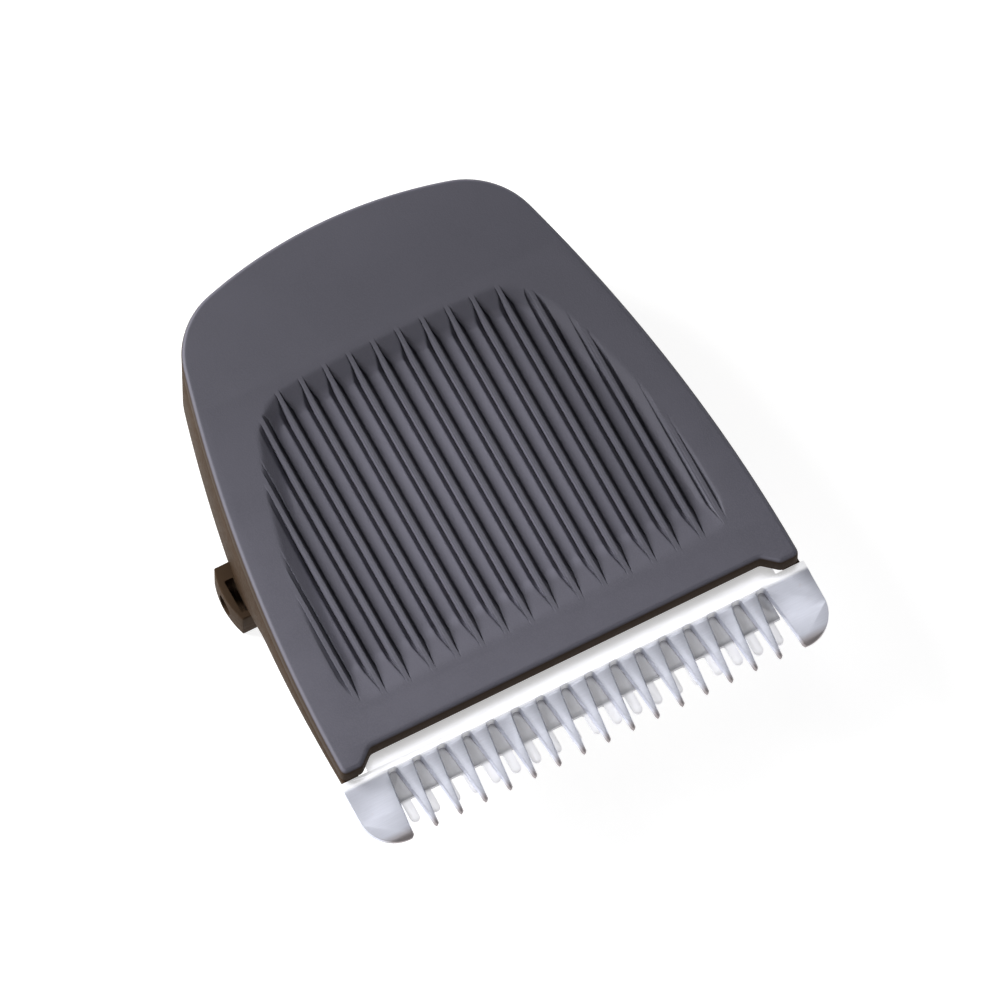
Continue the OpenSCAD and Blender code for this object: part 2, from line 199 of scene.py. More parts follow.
def lathe(profile, centre, direction, segments=48):
    """A turned solid. The profile holds (radius, distance along direction); its ends lie on the axis."""
    axis = Vector(direction).normalized()
    across = axis.orthogonal().normalized()
    other = axis.cross(across)
    verts, faces, rings = [], [], []
    for radius, distance in profile:
        if radius < 1e-6:
            rings.append([len(verts)] * segments)
            verts.append(centre + axis * distance * MM)
            continue
        rings.append(list(range(len(verts), len(verts) + segments)))
        for i in range(segments):
            turn = 2 * math.pi * i / segments
            side = across * math.cos(turn) + other * math.sin(turn)
            verts.append(centre + axis * distance * MM + side * radius * MM)
    for a, b in zip(rings, rings[1:]):
        for i in range(segments):
            j = (i + 1) % segments
            corners = dict.fromkeys((a[i], a[j], b[j], b[i]))
            faces.append(tuple(corners))
    return verts, faces


def joined(parts):
    """Several solids as one list of vertices and faces."""
    verts, faces = [], []
    for part_verts, part_faces in parts:
        shift = len(verts)
        verts += part_verts
        faces += [tuple(i + shift for i in face) for face in part_faces]
    return verts, faces


def make_object(name, part, sharp=35, cuts=(), shape=None):
    """An object from vertices and faces, cut along y at the given places and then reshaped."""
    mesh = bpy.data.meshes.new(name)
    mesh.from_pydata([tuple(v) for v in part[0]], [], part[1])
    work = bmesh.new()
    work.from_mesh(mesh)
    bmesh.ops.remove_doubles(work, verts=work.verts, dist=1e-7)
    bmesh.ops.recalc_face_normals(work, faces=work.faces)
    for y in cuts:
        everything = work.verts[:] + work.edges[:] + work.faces[:]
        bmesh.ops.bisect_plane(work, geom=everything, dist=1e-8, plane_co=spot(0, y, 0), plane_no=(0, 1, 0))
    if shape:
        for vert in work.verts:
            vert.co = shape(vert.co)
    bmesh.ops.delete(work, geom=[vert for vert in work.verts if not vert.link_faces], context="VERTS")
    work.to_mesh(mesh)
    work.free()
    mesh.shade_smooth()
    mesh.set_sharp_from_angle(angle=math.radians(sharp))
    piece = bpy.data.objects.new(name, mesh)
    bpy.context.scene.collection.objects.link(piece)
    return piece


def carve(piece, tools, operation, sharp=35):
    """Joins tools to a piece, or cuts them out of it, and keeps the result as the piece's mesh."""
    for tool in tools:
        step = piece.modifiers.new("carve", "BOOLEAN")
        step.operation = operation
        step.solver = "MANIFOLD"
        step.object = tool
    bpy.context.view_layer.update()
    graph = bpy.context.evaluated_depsgraph_get()
    result = bpy.data.meshes.new_from_object(piece.evaluated_get(graph))
    piece.modifiers.clear()
    piece.data = result
    for tool in tools:
        bpy.data.objects.remove(tool)
    result.shade_smooth()
    result.set_sharp_from_angle(angle=math.radians(sharp))
    return piece


def fit_out(piece, body, slot, material, *nodes):
    """Gives a piece its material and its body, and hides the CAD nodes it stands for. The slot argument is
    not used.
    """
    piece.data.materials.clear()
    piece.data.materials.append(material)
    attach(piece, body)
    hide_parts(*nodes)
    return piece


# ---------------------------------------------------------------- shader maths

class Wire:
    """A shader socket that Python's operators can be used on."""

    def __init__(self, graph, socket):
        self.graph = graph
        self.socket = socket

    def maths(self, operation, first, second):
        return self.graph.add("ShaderNodeMath", {"operation": operation}, {0: first, 1: second})

    def __add__(self, other):
        return self.maths("ADD", self, other)

    __radd__ = __add__

    def __sub__(self, other):
        return self.maths("SUBTRACT", self, other)

    def __rsub__(self, other):
        return self.maths("SUBTRACT", other, self)

    def __mul__(self, other):
        return self.maths("MULTIPLY", self, other)

    __rmul__ = __mul__

    def __truediv__(self, other):
        return self.maths("DIVIDE", self, other)


class Finish:
    """A material and the nodes behind it."""

    def __init__(self, name):
        self.material = bpy.data.materials.new(name)
        self.material.use_nodes = True
        self.tree = self.material.node_tree
        self.tree.nodes.clear()
        self.output = self.tree.nodes.new("ShaderNodeOutputMaterial")
        self.shader = self.tree.nodes.new("ShaderNodeBsdfPrincipled")
        self.tree.links.new(self.shader.outputs[0], self.output.inputs[0])
        self.coords = self.add("ShaderNodeTexCoord", {}, {}, "Object")

    def feed(self, socket, value):
        """Links a wire to a socket, or sets the socket's own value."""
        if isinstance(value, Wire):
            self.tree.links.new(value.socket, socket)
        else:
            socket.default_value = value

    def add(self, kind, settings, inputs, output=0):
        """Any node: its settings first, then its inputs. Gives back one output."""
        node = self.tree.nodes.new(kind)
        for name, value in settings.items():
            setattr(node, name, value)
        for name, value in inputs.items():
            self.feed(node.inputs[name], value)
        return Wire(self, node.outputs[output])

    def stretched(self, x, y, z):
        """Object coordinates in millimetres, times a factor for each axis."""
        factors = (x / MM, y / MM, z / MM)
        return self.add("ShaderNodeVectorMath", {"operation": "MULTIPLY"}, {0: self.coords, 1: factors})

    def noise(self, x, y, z, detail=3.0, roughness=0.55, distortion=0.0):
        """Noise with x, y and z cells a millimetre."""
        inputs = {"Vector": self.stretched(x, y, z), "Scale": 1.0, "Detail": detail,
                  "Roughness": roughness, "Distortion": distortion}
        return self.add("ShaderNodeTexNoise", {}, inputs)

    def between(self, value, low, high, to_low=0.0, to_high=1.0):
        """Maps low..high to to_low..to_high, smoothly and clamped."""
        inputs = {"Value": value, "From Min": low, "From Max": high, "To Min": to_low, "To Max": to_high}
        return self.add("ShaderNodeMapRange", {"interpolation_type": "SMOOTHSTEP"}, inputs)

    def blend(self, factor, first, second):
        """A colour between two colours."""
        inputs = {0: factor, 6: first, 7: second}
        return self.add("ShaderNodeMix", {"data_type": "RGBA"}, inputs, 2)

    def bump(self, height, distance, strength=1.0, under=None):
        """A normal from a height. Distance is in millimetres."""
        inputs = {"Height": height, "Distance": distance * MM, "Strength": strength}
        if under:
            inputs["Normal"] = under
        return self.add("ShaderNodeBump", {}, inputs)

    def axis(self, which):
        """One object coordinate, in millimetres."""
        separate = self.add("ShaderNodeSeparateXYZ", {}, {0: self.stretched(1, 1, 1)}, which)
        return separate

    def edges(self, low, high):
        """1 on worn convex edges, 0 elsewhere."""
        pointed = self.add("ShaderNodeNewGeometry", {}, {}, "Pointiness")
        return self.between(pointed, low, high)

    def set(self, **values):
        """Feeds the shader's own sockets, named with _ for a space."""
        for name, value in values.items():
            self.feed(self.shader.inputs[name.replace("_", " ")], value)
        return self.material


def tint(colour, factor):
    """A colour made lighter or darker, with alpha 1."""
    return (*(min(c * factor, 1.0) for c in colour[:3]), 1.0)


def moulded_face(look):
    """Dry matt cover plastic: fine spark grain, faint cloudiness, worn rims, darker towards the rear right, a
    painted sheen on the strips and painted brown shade down the sides.
    """
    finish = Finish("moulded_face")
    cloud = finish.noise(0.12, 0.12, 0.3, 4.0, 0.6)
    grain = finish.noise(7, 7, 7, 2.0, 0.6)
    pits = finish.noise(16, 16, 16, 1.0, 0.5)
    facing = finish.add("ShaderNodeNewGeometry", {}, {}, "Normal")
    steepness = finish.add("ShaderNodeSeparateXYZ", {}, {0: facing}, 2)
    # painted shade: side is 1 on steep faces; near the rim these take the frame's brown-black below
    side = 1 - finish.between(steepness, 0.25, 0.8)
    across = finish.axis(0) * finish.axis(0)
    behind_feet = finish.axis(1) - COVER_LO.y / MM
    outside = finish.between(across + behind_feet * behind_feet * 0.13, 450, 500)
    outside = outside + finish.between(behind_feet, 37.5, 39) + 1 - finish.between(behind_feet, 2.5, 4.5)
    outside = finish.between(outside, 0, 1)
    # darker towards the rear and the right of the face
    rear_right_darkening = finish.between(finish.axis(1) * 0.8 + finish.axis(0) * 0.35, -17, 17)
    face = finish.blend(finish.between(cloud, 0.3, 0.7), tint(look.face_colour, 0.92),
                        tint(look.face_colour, 1.07))
    face = finish.blend(finish.between(grain, 0.35, 0.7) * 0.6, face, tint(look.face_colour, 1.15))
    face = finish.blend(rear_right_darkening * 0.62, face, tint(look.face_colour, 0.5))
    # painted sheen: the strips between the ribs are lightened, most strongly in the middle of the scoop
    y_from_middle = finish.axis(1) + 1.5
    middle = 1 - finish.between(across, 0, 15 ** 2)
    middle = middle * (1 - finish.between(y_from_middle * y_from_middle, 0, 17 ** 2))
    strips = 1 - finish.between(finish.axis(2), look.strip_height, look.strip_height + 0.3)
    face = finish.blend(strips * (middle * 0.6 + 0.25), face, tint(look.face_colour, 1.75))
    worn = finish.between(steepness, 0.35, 0.75) * (1 - finish.between(steepness, 0.88, 0.985)) * outside
    face = finish.blend(worn * 0.35, face, tint(look.face_colour, 1.9))
    # painted shade: the cover's steep sides near the rim are coloured the frame's brown-black
    colour = finish.blend(side * outside, face, tint(look.frame_colour, 1.0))
    rough = finish.between(cloud, 0.3, 0.7, 0.58, 0.7) - worn * 0.1 + (grain - 0.5) * 0.12 + side * 0.2
    normal = finish.bump(pits * 0.3 + grain, 0.03, 0.6)
    return finish.set(Base_Color=colour, Roughness=rough, Normal=normal, Specular_IOR_Level=0.2)


def moulded_frame(look):
    """Brown black moulded plastic with a softer sheen than the face."""
    finish = Finish("moulded_frame")
    cloud = finish.noise(0.2, 0.2, 0.25, 3.0, 0.6)
    grain = finish.noise(9, 9, 9, 2.0, 0.6)
    flow = finish.noise(0.3, 2.2, 2.2, 2.0, 0.5, 0.6)
    base = finish.blend(cloud, tint(look.frame_colour, 0.75), tint(look.frame_colour, 1.25))
    worn = finish.edges(0.52, 0.62) * finish.between(finish.noise(1.4, 1.4, 1.4), 0.4, 0.65)
    colour = finish.blend(worn * 0.35, base, tint(look.frame_colour, 1.7))
    rough = finish.between(flow, 0.3, 0.7, 0.62, 0.78) + (grain - 0.5) * 0.1
    normal = finish.bump(grain, 0.02, 0.5)
    return finish.set(Base_Color=colour, Roughness=rough, Normal=normal, Specular_IOR_Level=0.08)


def ground_steel(name, colour, look, across, shade_from, shade_to, rough, bright):
    """Steel with grinding lines, darker and browner towards the tips, with a painted highlight and a painted
    glow.

    across is the lines' (x, y) fineness. bright is where along y the ground surface gets its painted
    highlight and glow, how sharply, and how much it glows.
    """
    finish = Finish(name)
    lines = finish.noise(across[0], across[1], 6.0, 3.0, 0.7)
    fine = finish.noise(across[0] * 3, across[1] * 3, 12.0, 2.0, 0.6)
    cloud = finish.noise(0.25, 0.25, 0.4, 4.0, 0.6)
    tip = 1 - finish.between(finish.axis(1), shade_from, shade_to)
    start, sharpness, glow_level = bright
    # painted highlight and glow: 1 where the steel is lightened and made to glow; it also raises the metallic
    polish_and_painted_glow = finish.between(finish.axis(1) * sharpness, start * sharpness - 0.25, start * sharpness + 0.25)
    spots = finish.between(finish.noise(1.7, 1.7, 1.7, 3.0), 0.6, 0.78)
    base = finish.blend(cloud, tint(colour, 0.95), tint(colour, 1.04))
    base = finish.blend(finish.between(lines, 0.3, 0.75) * 0.3, base, tint(colour, 0.84))
    base = finish.blend(spots * 0.12, base, tint(look.tip_brown_colour, 2.4))
    # darker and browner towards the tips
    base = finish.blend(tip * 0.75, base, tint(look.tip_brown_colour, 1.0))
    # painted highlight: the bright part turns towards a pale grey
    base = finish.blend(polish_and_painted_glow * 0.8, base, tint((0.8, 0.8, 0.84), 1.0))
    # painted glow: a faint glow over all the steel, much stronger on the bright part
    glow = finish.blend(polish_and_painted_glow, (0.03, 0.03, 0.035, 1), (glow_level, glow_level, glow_level, 1))
    roughness = finish.between(lines, 0.25, 0.8, rough, rough + 0.12) + tip * 0.1
    normal = finish.bump(fine * 0.4 + lines, 0.003, 0.3)
    return finish.set(Base_Color=base, Metallic=0.62 + polish_and_painted_glow * 0.1, Roughness=roughness, Normal=normal,
                      Emission_Color=glow, Emission_Strength=0.55)


def turned_metal(name, colour, rough):
    """Plated or turned metal: fine rings, small dull patches."""
    finish = Finish(name)
    lines = finish.noise(2.0, 2.0, 22.0, 2.0, 0.6)
    patches = finish.noise(1.2, 1.2, 1.2, 4.0, 0.65)
    base = finish.blend(patches, tint(colour, 0.72), tint(colour, 1.18))
    roughness = finish.between(patches, 0.3, 0.75, rough, rough + 0.18) + (lines - 0.5) * 0.1
    worn = finish.edges(0.53, 0.63)
    base = finish.blend(worn * 0.5, base, tint(colour, 1.5))
    normal = finish.bump(lines, 0.004, 0.4)
    return finish.set(Base_Color=base, Metallic=1.0, Roughness=roughness, Normal=normal)


def acetal(name, colour, rough, sheen_change):
    """Smooth engineering plastic with faint flow marks and dull rubbed places."""
    finish = Finish(name)
    flow = finish.noise(0.5, 1.6, 1.0, 3.0, 0.6, 0.8)
    speck = finish.noise(8, 8, 8, 2.0, 0.6)
    base = finish.blend(flow, tint(colour, 0.88), tint(colour, 1.08))
    rubbed = finish.between(finish.noise(0.8, 0.8, 0.8, 4.0), 0.45, 0.7)
    base = finish.blend(finish.edges(0.52, 0.62) * 0.4, base, tint(colour, 1.35))
    roughness = rough + rubbed * sheen_change + (speck - 0.5) * 0.08
    return finish.set(Base_Color=base, Roughness=roughness, Normal=finish.bump(speck, 0.01, 0.4))


def pale_sweep(stage):
    """Studio floor that shines a little by itself, and doesn't show from below."""
    finish = Finish("pale_sweep")
    mottle = finish.noise(0.01, 0.01, 0.01, 2.0)
    colour = finish.blend(mottle, tint(stage.floor_colour, 0.985), tint(stage.floor_colour, 1.0))
    rough = finish.between(mottle, 0.3, 0.7, 0.8, 0.9)
    finish.set(Base_Color=colour, Roughness=rough, Specular_IOR_Level=0.1, Emission_Color=(1, 1, 1, 1),
               Emission_Strength=stage.floor_glow)
    behind = finish.add("ShaderNodeNewGeometry", {}, {}, "Backfacing")
    clear = finish.add("ShaderNodeBsdfTransparent", {}, {})
    lit = Wire(finish, finish.shader.outputs[0])
    mixed = finish.add("ShaderNodeMixShader", {}, {0: behind, 1: lit, 2: clear})
    finish.feed(finish.output.inputs[0], mixed)
    return finish.material


# ---------------------------------------------------------------- what a user can change

def length(label, text, default, low=0.0, high=100.0):
    """A size in millimetres."""
    return bpy.props.FloatProperty(name=label, description=text, default=default, min=low, max=high)


def paint(label, text, default):
    """A linear colour."""
    return bpy.props.FloatVectorProperty(name=label, description=text, default=default, size=3, min=0.0,
                                         max=1.0, subtype="COLOR")


def count(label, text, default):
    """A whole number of things."""
    return bpy.props.IntProperty(name=label, description=text, default=default)


def number(label, text, default, unit="NONE"):
    """A plain number, or one with a unit."""
    return bpy.props.FloatProperty(name=label, description=text, default=default, unit=unit)


class CoverSizes(bpy.types.PropertyGroup):
    """Sizes of the face cover and the frame under it, in millimetres."""

    side_bow_r: length("Side bow", "Radius of the bowed sides", 164, 140, 220)
    rear_bow_r: length("Rear bow", "Radius of the bowed rear edge", 45, 40, 60)
    rear_corner_r: length("Rear corner", "Radius of the rear corners", 8, 5, 10)
    rim_round: length("Rim rounding", "How far the rounded rim reaches in and down", 0.5, 0.2, 0.8)
    foot_w: length("Foot width", "Width of each front foot", 2, 1.5, 2.5)
    mouth_set_back: length("Mouth set back", "How far the mouth lies behind the feet", 1.3, 0.6, 2)
    scoop_rear_gap: length("Rear margin", "Margin between the scoop and the rear edge", 12.95, 11, 15)
    scoop_front_gap: length("Front margin", "Margin between the scoop and the feet", 5.6, 5, 8)
    scoop_side_gap: length("Side margin", "Margin between the scoop and the sides", 3.85, 3, 5)
    scoop_side_r: length("Scoop side bow", "Radius of the scoop's sides", 66, 60, 90)
    scoop_depth: length("Scoop depth", "Depth of the strips between the ribs", 0.85, 0.5, 1)
    groove_depth: length("Groove depth", "Extra depth of the grooves beside a rib", 0.65, 0.3, 0.8)
    groove_w: length("Groove width", "Width of the groove beside a rib", 0.45, 0.3, 0.6)
    rib_t: length("Rib thickness", "Thickness of a rib", 0.4, 0.3, 0.6)
    cover_t: length("Cover thickness", "Thickness of the face plate", 2, 1.9, 2.6)


class FrameSizes(bpy.types.PropertyGroup):
    """Sizes of the frame, in millimetres."""

    wall_t: length("Wall thickness", "Thickness of the frame's wall", 1.6, 1.2, 2)
    wall_depth: length("Wall depth", "Depth of the wall's underside in the rear half", 10.6, 9, 13)
    nose_depth: length("Nose depth", "Depth of the wall's underside at the feet", 3.3, 3, 4)
    deck_t: length("Deck thickness", "Thickness of the deck under the face plate", 1.2, 1, 1.6)
    deck_front: length("Deck front", "Where the deck begins, behind the feet", 14.5, 12, 16)
    arm_y: length("Arm place", "Middle of the clip arms behind the feet", 24.4, 21, 27)
    arm_half_l: length("Arm half length", "Half of a clip arm's length", 2.9, 2.5, 4.5)
    arm_h: length("Arm height", "Height of a clip arm", 3.6, 3, 6.5)
    arm_proud: length("Arm stand-out", "How far an arm stands out beyond the cover", 1.55, 1.2, 2)
    arm_skin: length("Arm skin", "Thickness of an arm's outer skin", 0.7, 0.5, 1.6)
    arm_slot_w: length("Arm slot", "Width of the slot behind the skin", 0.9, 0.6, 1.2)
    arm_bow_r: length("Arm bow", "Radius of an arm's outer face", 9, 7, 12)
    arm_bridge: length("Arm bridge", "Length of the bridge behind an arm's pocket", 1.6, 1, 2.5)
    arm_lip: length("Arm lip", "Length of the closed front of an arm", 0.7, 0.5, 1.2)
    arm_floor: length("Arm floor", "Thickness left under an arm's pocket", 0.4, 0.3, 1.2)
    snap_hole_r: length("Snap hole", "Radius of the snap hole", 1, 0.8, 1.3)
    snap_hole_up: length("Snap hole height", "Height of the snap hole above the arm's underside", 1.5, 1.3, 3)
    catch_half_w: length("Catch half width", "Half width of the rear catch", 5, 3, 7)
    coil_y: length("Coil place", "Spring coils behind the feet", 16.9, 15, 20)


class BladeSizes(bpy.types.PropertyGroup):
    """Sizes of the two steel combs, in millimetres."""

    tooth_pitch: length("Guard pitch", "Distance between guard teeth", 2.54, 2, 3)
    gap_pairs: count("Gaps a side", "Gaps on each side of the middle", 8)
    lobe_r: length("Lobe radius", "Radius of the rounded end lobes", 3.4, 2, 5)
    bevel_y: length("Bevel start", "Where the teeth begin to slope, behind the feet", -1.15, -3, 0)
    tip_t: length("Tip thickness", "Thickness left at the tips", 0.45, 0.3, 0.6)
    gap_slope: length("Gap slope", "How much wider a gap is on top than below", 0.16, 0, 0.3)
    cutter_pitch: length("Cutter pitch", "Distance between cutter teeth", 2.09, 1.9, 2.6)
    cutter_tooth_w: length("Cutter tooth width", "Width of a cutter tooth", 0.95, 0.8, 1.1)
    cutter_side_teeth: count("Cutter teeth a side", "Teeth beside the middle one", 9)
    wire_d: length("Spring wire", "Diameter of the spring wire", 0.6, 0.5, 0.7)
    coil_r: length("Coil radius", "Mean radius of the spring coils", 1.57, 1.4, 1.7)
    slot_w: length("Drive slot", "Width of the slot for the drive pin", 3.4, 3, 3.9)


class HeadLook(bpy.types.PropertyGroup):
    """Colours of the finishes, linear, and the height at which the face's strips begin."""

    face_colour: paint("Face", "Charcoal of the face cover", (0.122, 0.119, 0.147))
    frame_colour: paint("Frame", "Brown black of the frame", (0.046, 0.028, 0.016))
    guard_colour: paint("Guard", "Ground steel of the guard", (0.74, 0.76, 0.86))
    cutter_colour: paint("Cutter", "Steel of the cutter", (0.42, 0.42, 0.44))
    # the brown that the steel darkens towards at its tips; a lighter tint of it colours the small spots
    tip_brown_colour: paint("Stain", "Oil stain at the tips", (0.24, 0.18, 0.15))
    screw_colour: paint("Screws", "Zinc of the screws and pins", (0.5, 0.5, 0.52))
    wire_colour: paint("Springs", "Drawn spring wire", (0.58, 0.58, 0.6))
    carrier_colour: paint("Carrier", "Natural acetal", (0.66, 0.65, 0.6))
    fork_colour: paint("Fork", "Black acetal", (0.03, 0.03, 0.033))
    brass_colour: paint("Rivets", "Brass of the rivets", (0.72, 0.55, 0.28))
    # the face's strips below this height take the painted sheen
    strip_height: length("Strip height", "Height above the floor of the strips between the ribs", 12.4, 11,
                         13)


class StageSet(bpy.types.PropertyGroup):
    """Floor, lights and camera."""

    floor_colour: paint("Floor", "Pale floor", (0.45, 0.45, 0.45))
    floor_glow: number("Floor glow", "Light given off by the floor", 0.85)
    key_power: number("Key light", "Power of the low key light", 4.2, "POWER")
    top_power: number("Top light", "Power of the overhead panel", 1.0, "POWER")
    azimuth: number("Azimuth", "Camera's turn about the head in degrees", -27.7)
    elevation: number("Elevation", "Camera's height in degrees", 67.0)
    lens: number("Lens", "Focal length in millimetres", 800.0)
    frame_width: length("Framed width", "Width of the view at the face", 91.8, 60, 140)
    aim: bpy.props.FloatVectorProperty(name="Aim", description="Point the camera looks at, millimetres",
                                       default=(1.73, 17.5, 0.0), size=3)


GROUPS = {
    "head_cover": CoverSizes,
    "head_frame": FrameSizes,
    "head_blades": BladeSizes,
    "head_look": HeadLook,
    "head_stage": StageSet,
}


# ---------------------------------------------------------------- shapes shared by pieces

def circles_meet(a, ra, b, rb):
    """Where two circles cross, on the left of the line from a to b."""
    gap = b - a
    d = gap.length
    reach_in = (ra * ra - rb * rb + d * d) / (2 * d)
    along_gap = gap / d
    return a + reach_in * along_gap + math.sqrt(ra * ra - reach_in ** 2) * Vector((-along_gap.y, along_gap.x))


def cover_side(sizes, inset, steps=(40, 20, 20)):
    """Right half of the cover's outline, from the front foot to the middle of the rear edge."""
    lo, hi = reach("face_cover")
    side_r, rear_r = sizes.side_bow_r - inset, sizes.rear_bow_r - inset
    corner_r = sizes.rear_corner_r - inset
    side_c = Vector((hi.x - sizes.side_bow_r, 0))
    rear_c = Vector((0, hi.y - sizes.rear_bow_r))
    corner_c = circles_meet(side_c, side_r - corner_r, rear_c, rear_r - corner_r)
    to_side, to_rear = corner_c - side_c, corner_c - rear_c
    side_end = math.degrees(math.atan2(to_side.y, to_side.x))
    rear_start = math.degrees(math.atan2(to_rear.y, to_rear.x))
    side = arc(side_c, side_r, 0, side_end, steps[0])
    corner = arc(corner_c, corner_r, side_end, rear_start, steps[1])
    rear = arc(rear_c, rear_r, rear_start, 90, steps[2])
    return side + corner[1:-1] + rear


def side_x(sizes, y):
    """Half width of the cover at a place along it."""
    hi = reach("face_cover")[1]
    return hi.x - sizes.side_bow_r + math.sqrt(sizes.side_bow_r ** 2 - y * y)


def back_outline(sizes, inset):
    """The cover's outline from the right foot round the rear to the left foot."""
    right = cover_side(sizes, inset)
    return right + mirrored(right)[1:]


def cover_loop(sizes):
    """The whole outline of the cover, with the mouth between its feet."""
    hi = reach("face_cover")[1]
    foot_in = hi.x - sizes.foot_w
    mouth_in = foot_in - 1.5
    front = [(-hi.x, 0), (-foot_in, 0), (-mouth_in, sizes.mouth_set_back), (mouth_in, sizes.mouth_set_back),
             (foot_in, 0), (hi.x, 0)]
    rounded_front = fillet([(-hi.x, 4), *front, (hi.x, 4)], 0.7, 5, closed=False)[1:-1]
    back = [point for point in back_outline(sizes, 0) if point[1] > 0.6]
    return back + rounded_front


def eased(share, low, high):
    """Clamps to 0..1, with rounded corners low and high wide."""
    if share < 0.5:
        if share <= -low:
            return 0.0
        return share if share >= low else (share + low) ** 2 / (4 * low)
    rest = 1 - share
    if rest <= -high:
        return 1.0
    return share if rest >= high else 1 - (rest + high) ** 2 / (4 * high)


def soft_least(a, b, radius):
    """The smaller of two, with a round corner where they meet."""
    if a < radius and b < radius:
        return radius - math.hypot(radius - a, radius - b)
    return min(a, b)


def scoop_share(sizes, x, y):
    """How deep the scoop is at a place, from 0 at its rim to 1 on its floor."""
    lo, hi = reach("face_cover")
    side_w, rear_w, front_w = 2.0, 2.65, 4.0
    side_c = hi.x - sizes.scoop_side_gap - sizes.scoop_side_r
    rear_y = hi.y - sizes.scoop_rear_gap
    side = sizes.scoop_side_r - math.hypot(abs(x) - side_c, y - sizes.scoop_front_gap - 2.9)
    rear = 150 - math.hypot(x, y - rear_y + 150)
    front = y - sizes.scoop_front_gap
    share = soft_least(side / side_w, rear / rear_w, 1.3)
    return eased(soft_least(share, front / front_w, 0.9), 0.1, 0.05)


def groove_opening(sizes, y):
    """Share of its full width that a groove has at a place along the head."""
    rear_y = reach("face_cover")[1].y - sizes.scoop_rear_gap
    front_share = (y - sizes.scoop_front_gap) / 2.9
    rear_share = (rear_y - 0.9 - y) / 1.6
    return max(0.2, min(1.0, front_share, rear_share))


def rib_lines(sizes):
    """Lines beside a rib's middle: (offset, part of it that the groove scales, level)."""
    half, groove = sizes.rib_t / 2, sizes.groove_w
    return [(0, 0, "top"), (half * 0.55, 0, "top"), (half * 0.85, 0, "shoulder"), (half, 0, "edge"),
            (half + 0.02, 0.0, "groove"), (half, 0.35 * groove, "groove"), (half, 0.7 * groove, "groove"),
            (half - 0.02, groove, "groove"), (half + 0.01, groove, "lip"), (half + 0.06, groove, "strip"),
            (half + 0.22, groove, "strip"), (half + 0.42, groove, "strip")]


def height_at(sizes, level, share):
    """Height of a kind of line for a share of the scoop's depth."""
    deep = sizes.scoop_depth + sizes.groove_depth
    return {"top": 0.0, "shoulder": -0.012, "edge": -0.05, "groove": -deep, "lip": -sizes.scoop_depth - 0.04,
            "strip": -sizes.scoop_depth}[level] * share


def ribbed_face(sizes):
    """Grid of the ribbed scoop: columns of (x, y, z) rows, lines following each rib and groove."""
    blades = bpy.context.scene.head_blades
    pitch, pairs = blades.tooth_pitch, blades.gap_pairs
    middles = [(i + 0.5) * pitch for i in range(-pairs, pairs)]
    lines = []
    for x in middles:
        kinds = rib_lines(sizes)
        lines += [(x, -offset, -groove, level) for offset, groove, level in reversed(kinds[1:])]
        lines += [(x, offset, groove, level) for offset, groove, level in kinds]
        lines.append((x + pitch / 2, 0, 0, "strip"))
    outer = middles[-1] + 1.1
    lines = [(-outer - 0.2, 0, 0, "strip"), (-outer, 0, 0, "strip"), *lines[:-1],
             (outer, 0, 0, "strip"), (outer + 0.2, 0, 0, "strip")]
    front, rear = sizes.scoop_front_gap - 0.6, reach("face_cover")[1].y - sizes.scoop_rear_gap + 0.6
    rows, y = [], front
    while y < rear:
        rows.append(y)
        y += 0.14 if y < front + 4.5 or y > rear - 4.2 else 0.3
    rows.append(rear)
    grid = []
    for middle, offset, groove, level in lines:
        column = []
        for y in rows:
            x = middle + offset + groove * groove_opening(sizes, y)
            column.append((x, y, height_at(sizes, level, scoop_share(sizes, x, y))))
        grid.append(column)
    return grid


def face_top(sizes, rim):
    """Top of the cover inside its rim: the ribbed grid, and a flat margin out to the rim's loop."""
    grid = ribbed_face(sizes)
    columns, rows = len(grid), len(grid[0])
    verts = [spot(*point) for column in grid for point in column]
    room = 1.4

    def inside(point):
        x, y, z = point
        corner = Vector((abs(x) + room * 0.6, y + room))
        hi = reach("face_cover")[1]
        side_c, rear_c = Vector((hi.x - sizes.side_bow_r, 0)), Vector((0, hi.y - sizes.rear_bow_r))
        return (corner - side_c).length < sizes.side_bow_r and (corner - rear_c).length < sizes.rear_bow_r

    faces, border = [], {}
    for i in range(columns - 1):
        for j in range(rows - 1):
            if not all(inside(grid[a][b]) for a in (i, i + 1) for b in (j, j + 1)):
                continue
            quad = (i * rows + j, (i + 1) * rows + j, (i + 1) * rows + j + 1, i * rows + j + 1)
            faces.append(quad)
            for a, b in zip(quad, quad[1:] + quad[:1]):
                if border.pop((b, a), None) is None:
                    border[(a, b)] = True
    following = dict(border.keys())
    start = next(iter(following))
    loop, here = [start], following[start]
    while here != start:
        loop.append(here)
        here = following[here]
    first = len(verts)
    outline = [Vector((p[0], p[1], 0)) for p in rim]
    hole = [Vector(((verts[i].x) / MM, (verts[i].y - COVER_LO.y) / MM, 0)) for i in reversed(loop)]
    verts += [spot(p[0], p[1], 0) for p in rim]
    index = [first + i for i in range(len(rim))] + loop[::-1]
    faces += [tuple(index[i] for i in triangle) for triangle in tessellate_polygon([outline, hole])]
    return verts, faces


def boss_part(x, y, low, top):
    """A screw boss: a short post with a chamfered pilot hole."""
    radius, bore = 2.0, 0.9
    profile = [(0, top), (radius, top), (radius, low + 0.15), (radius - 0.15, low), (bore + 0.2, low),
               (bore, low + 0.2), (bore, top - 0.6), (0, top - 0.25)]
    return lathe(profile, spot(x, y, 0), (0, 0, 1), 40)


def head_screws():
    """Places and nodes of the four screws: (name, x, y, height of the head's underside)."""
    places = []
    for name in ("clamp_screw", "frame_screw"):
        for side in ("left", "right"):
            lo, hi = reach(f"{name}_{side}")
            places.append((f"{name}_{side}", (lo.x + hi.x) / 2, (lo.y + hi.y) / 2, lo.z + 1.1))
    return places


# ---------------------------------------------------------------- pieces

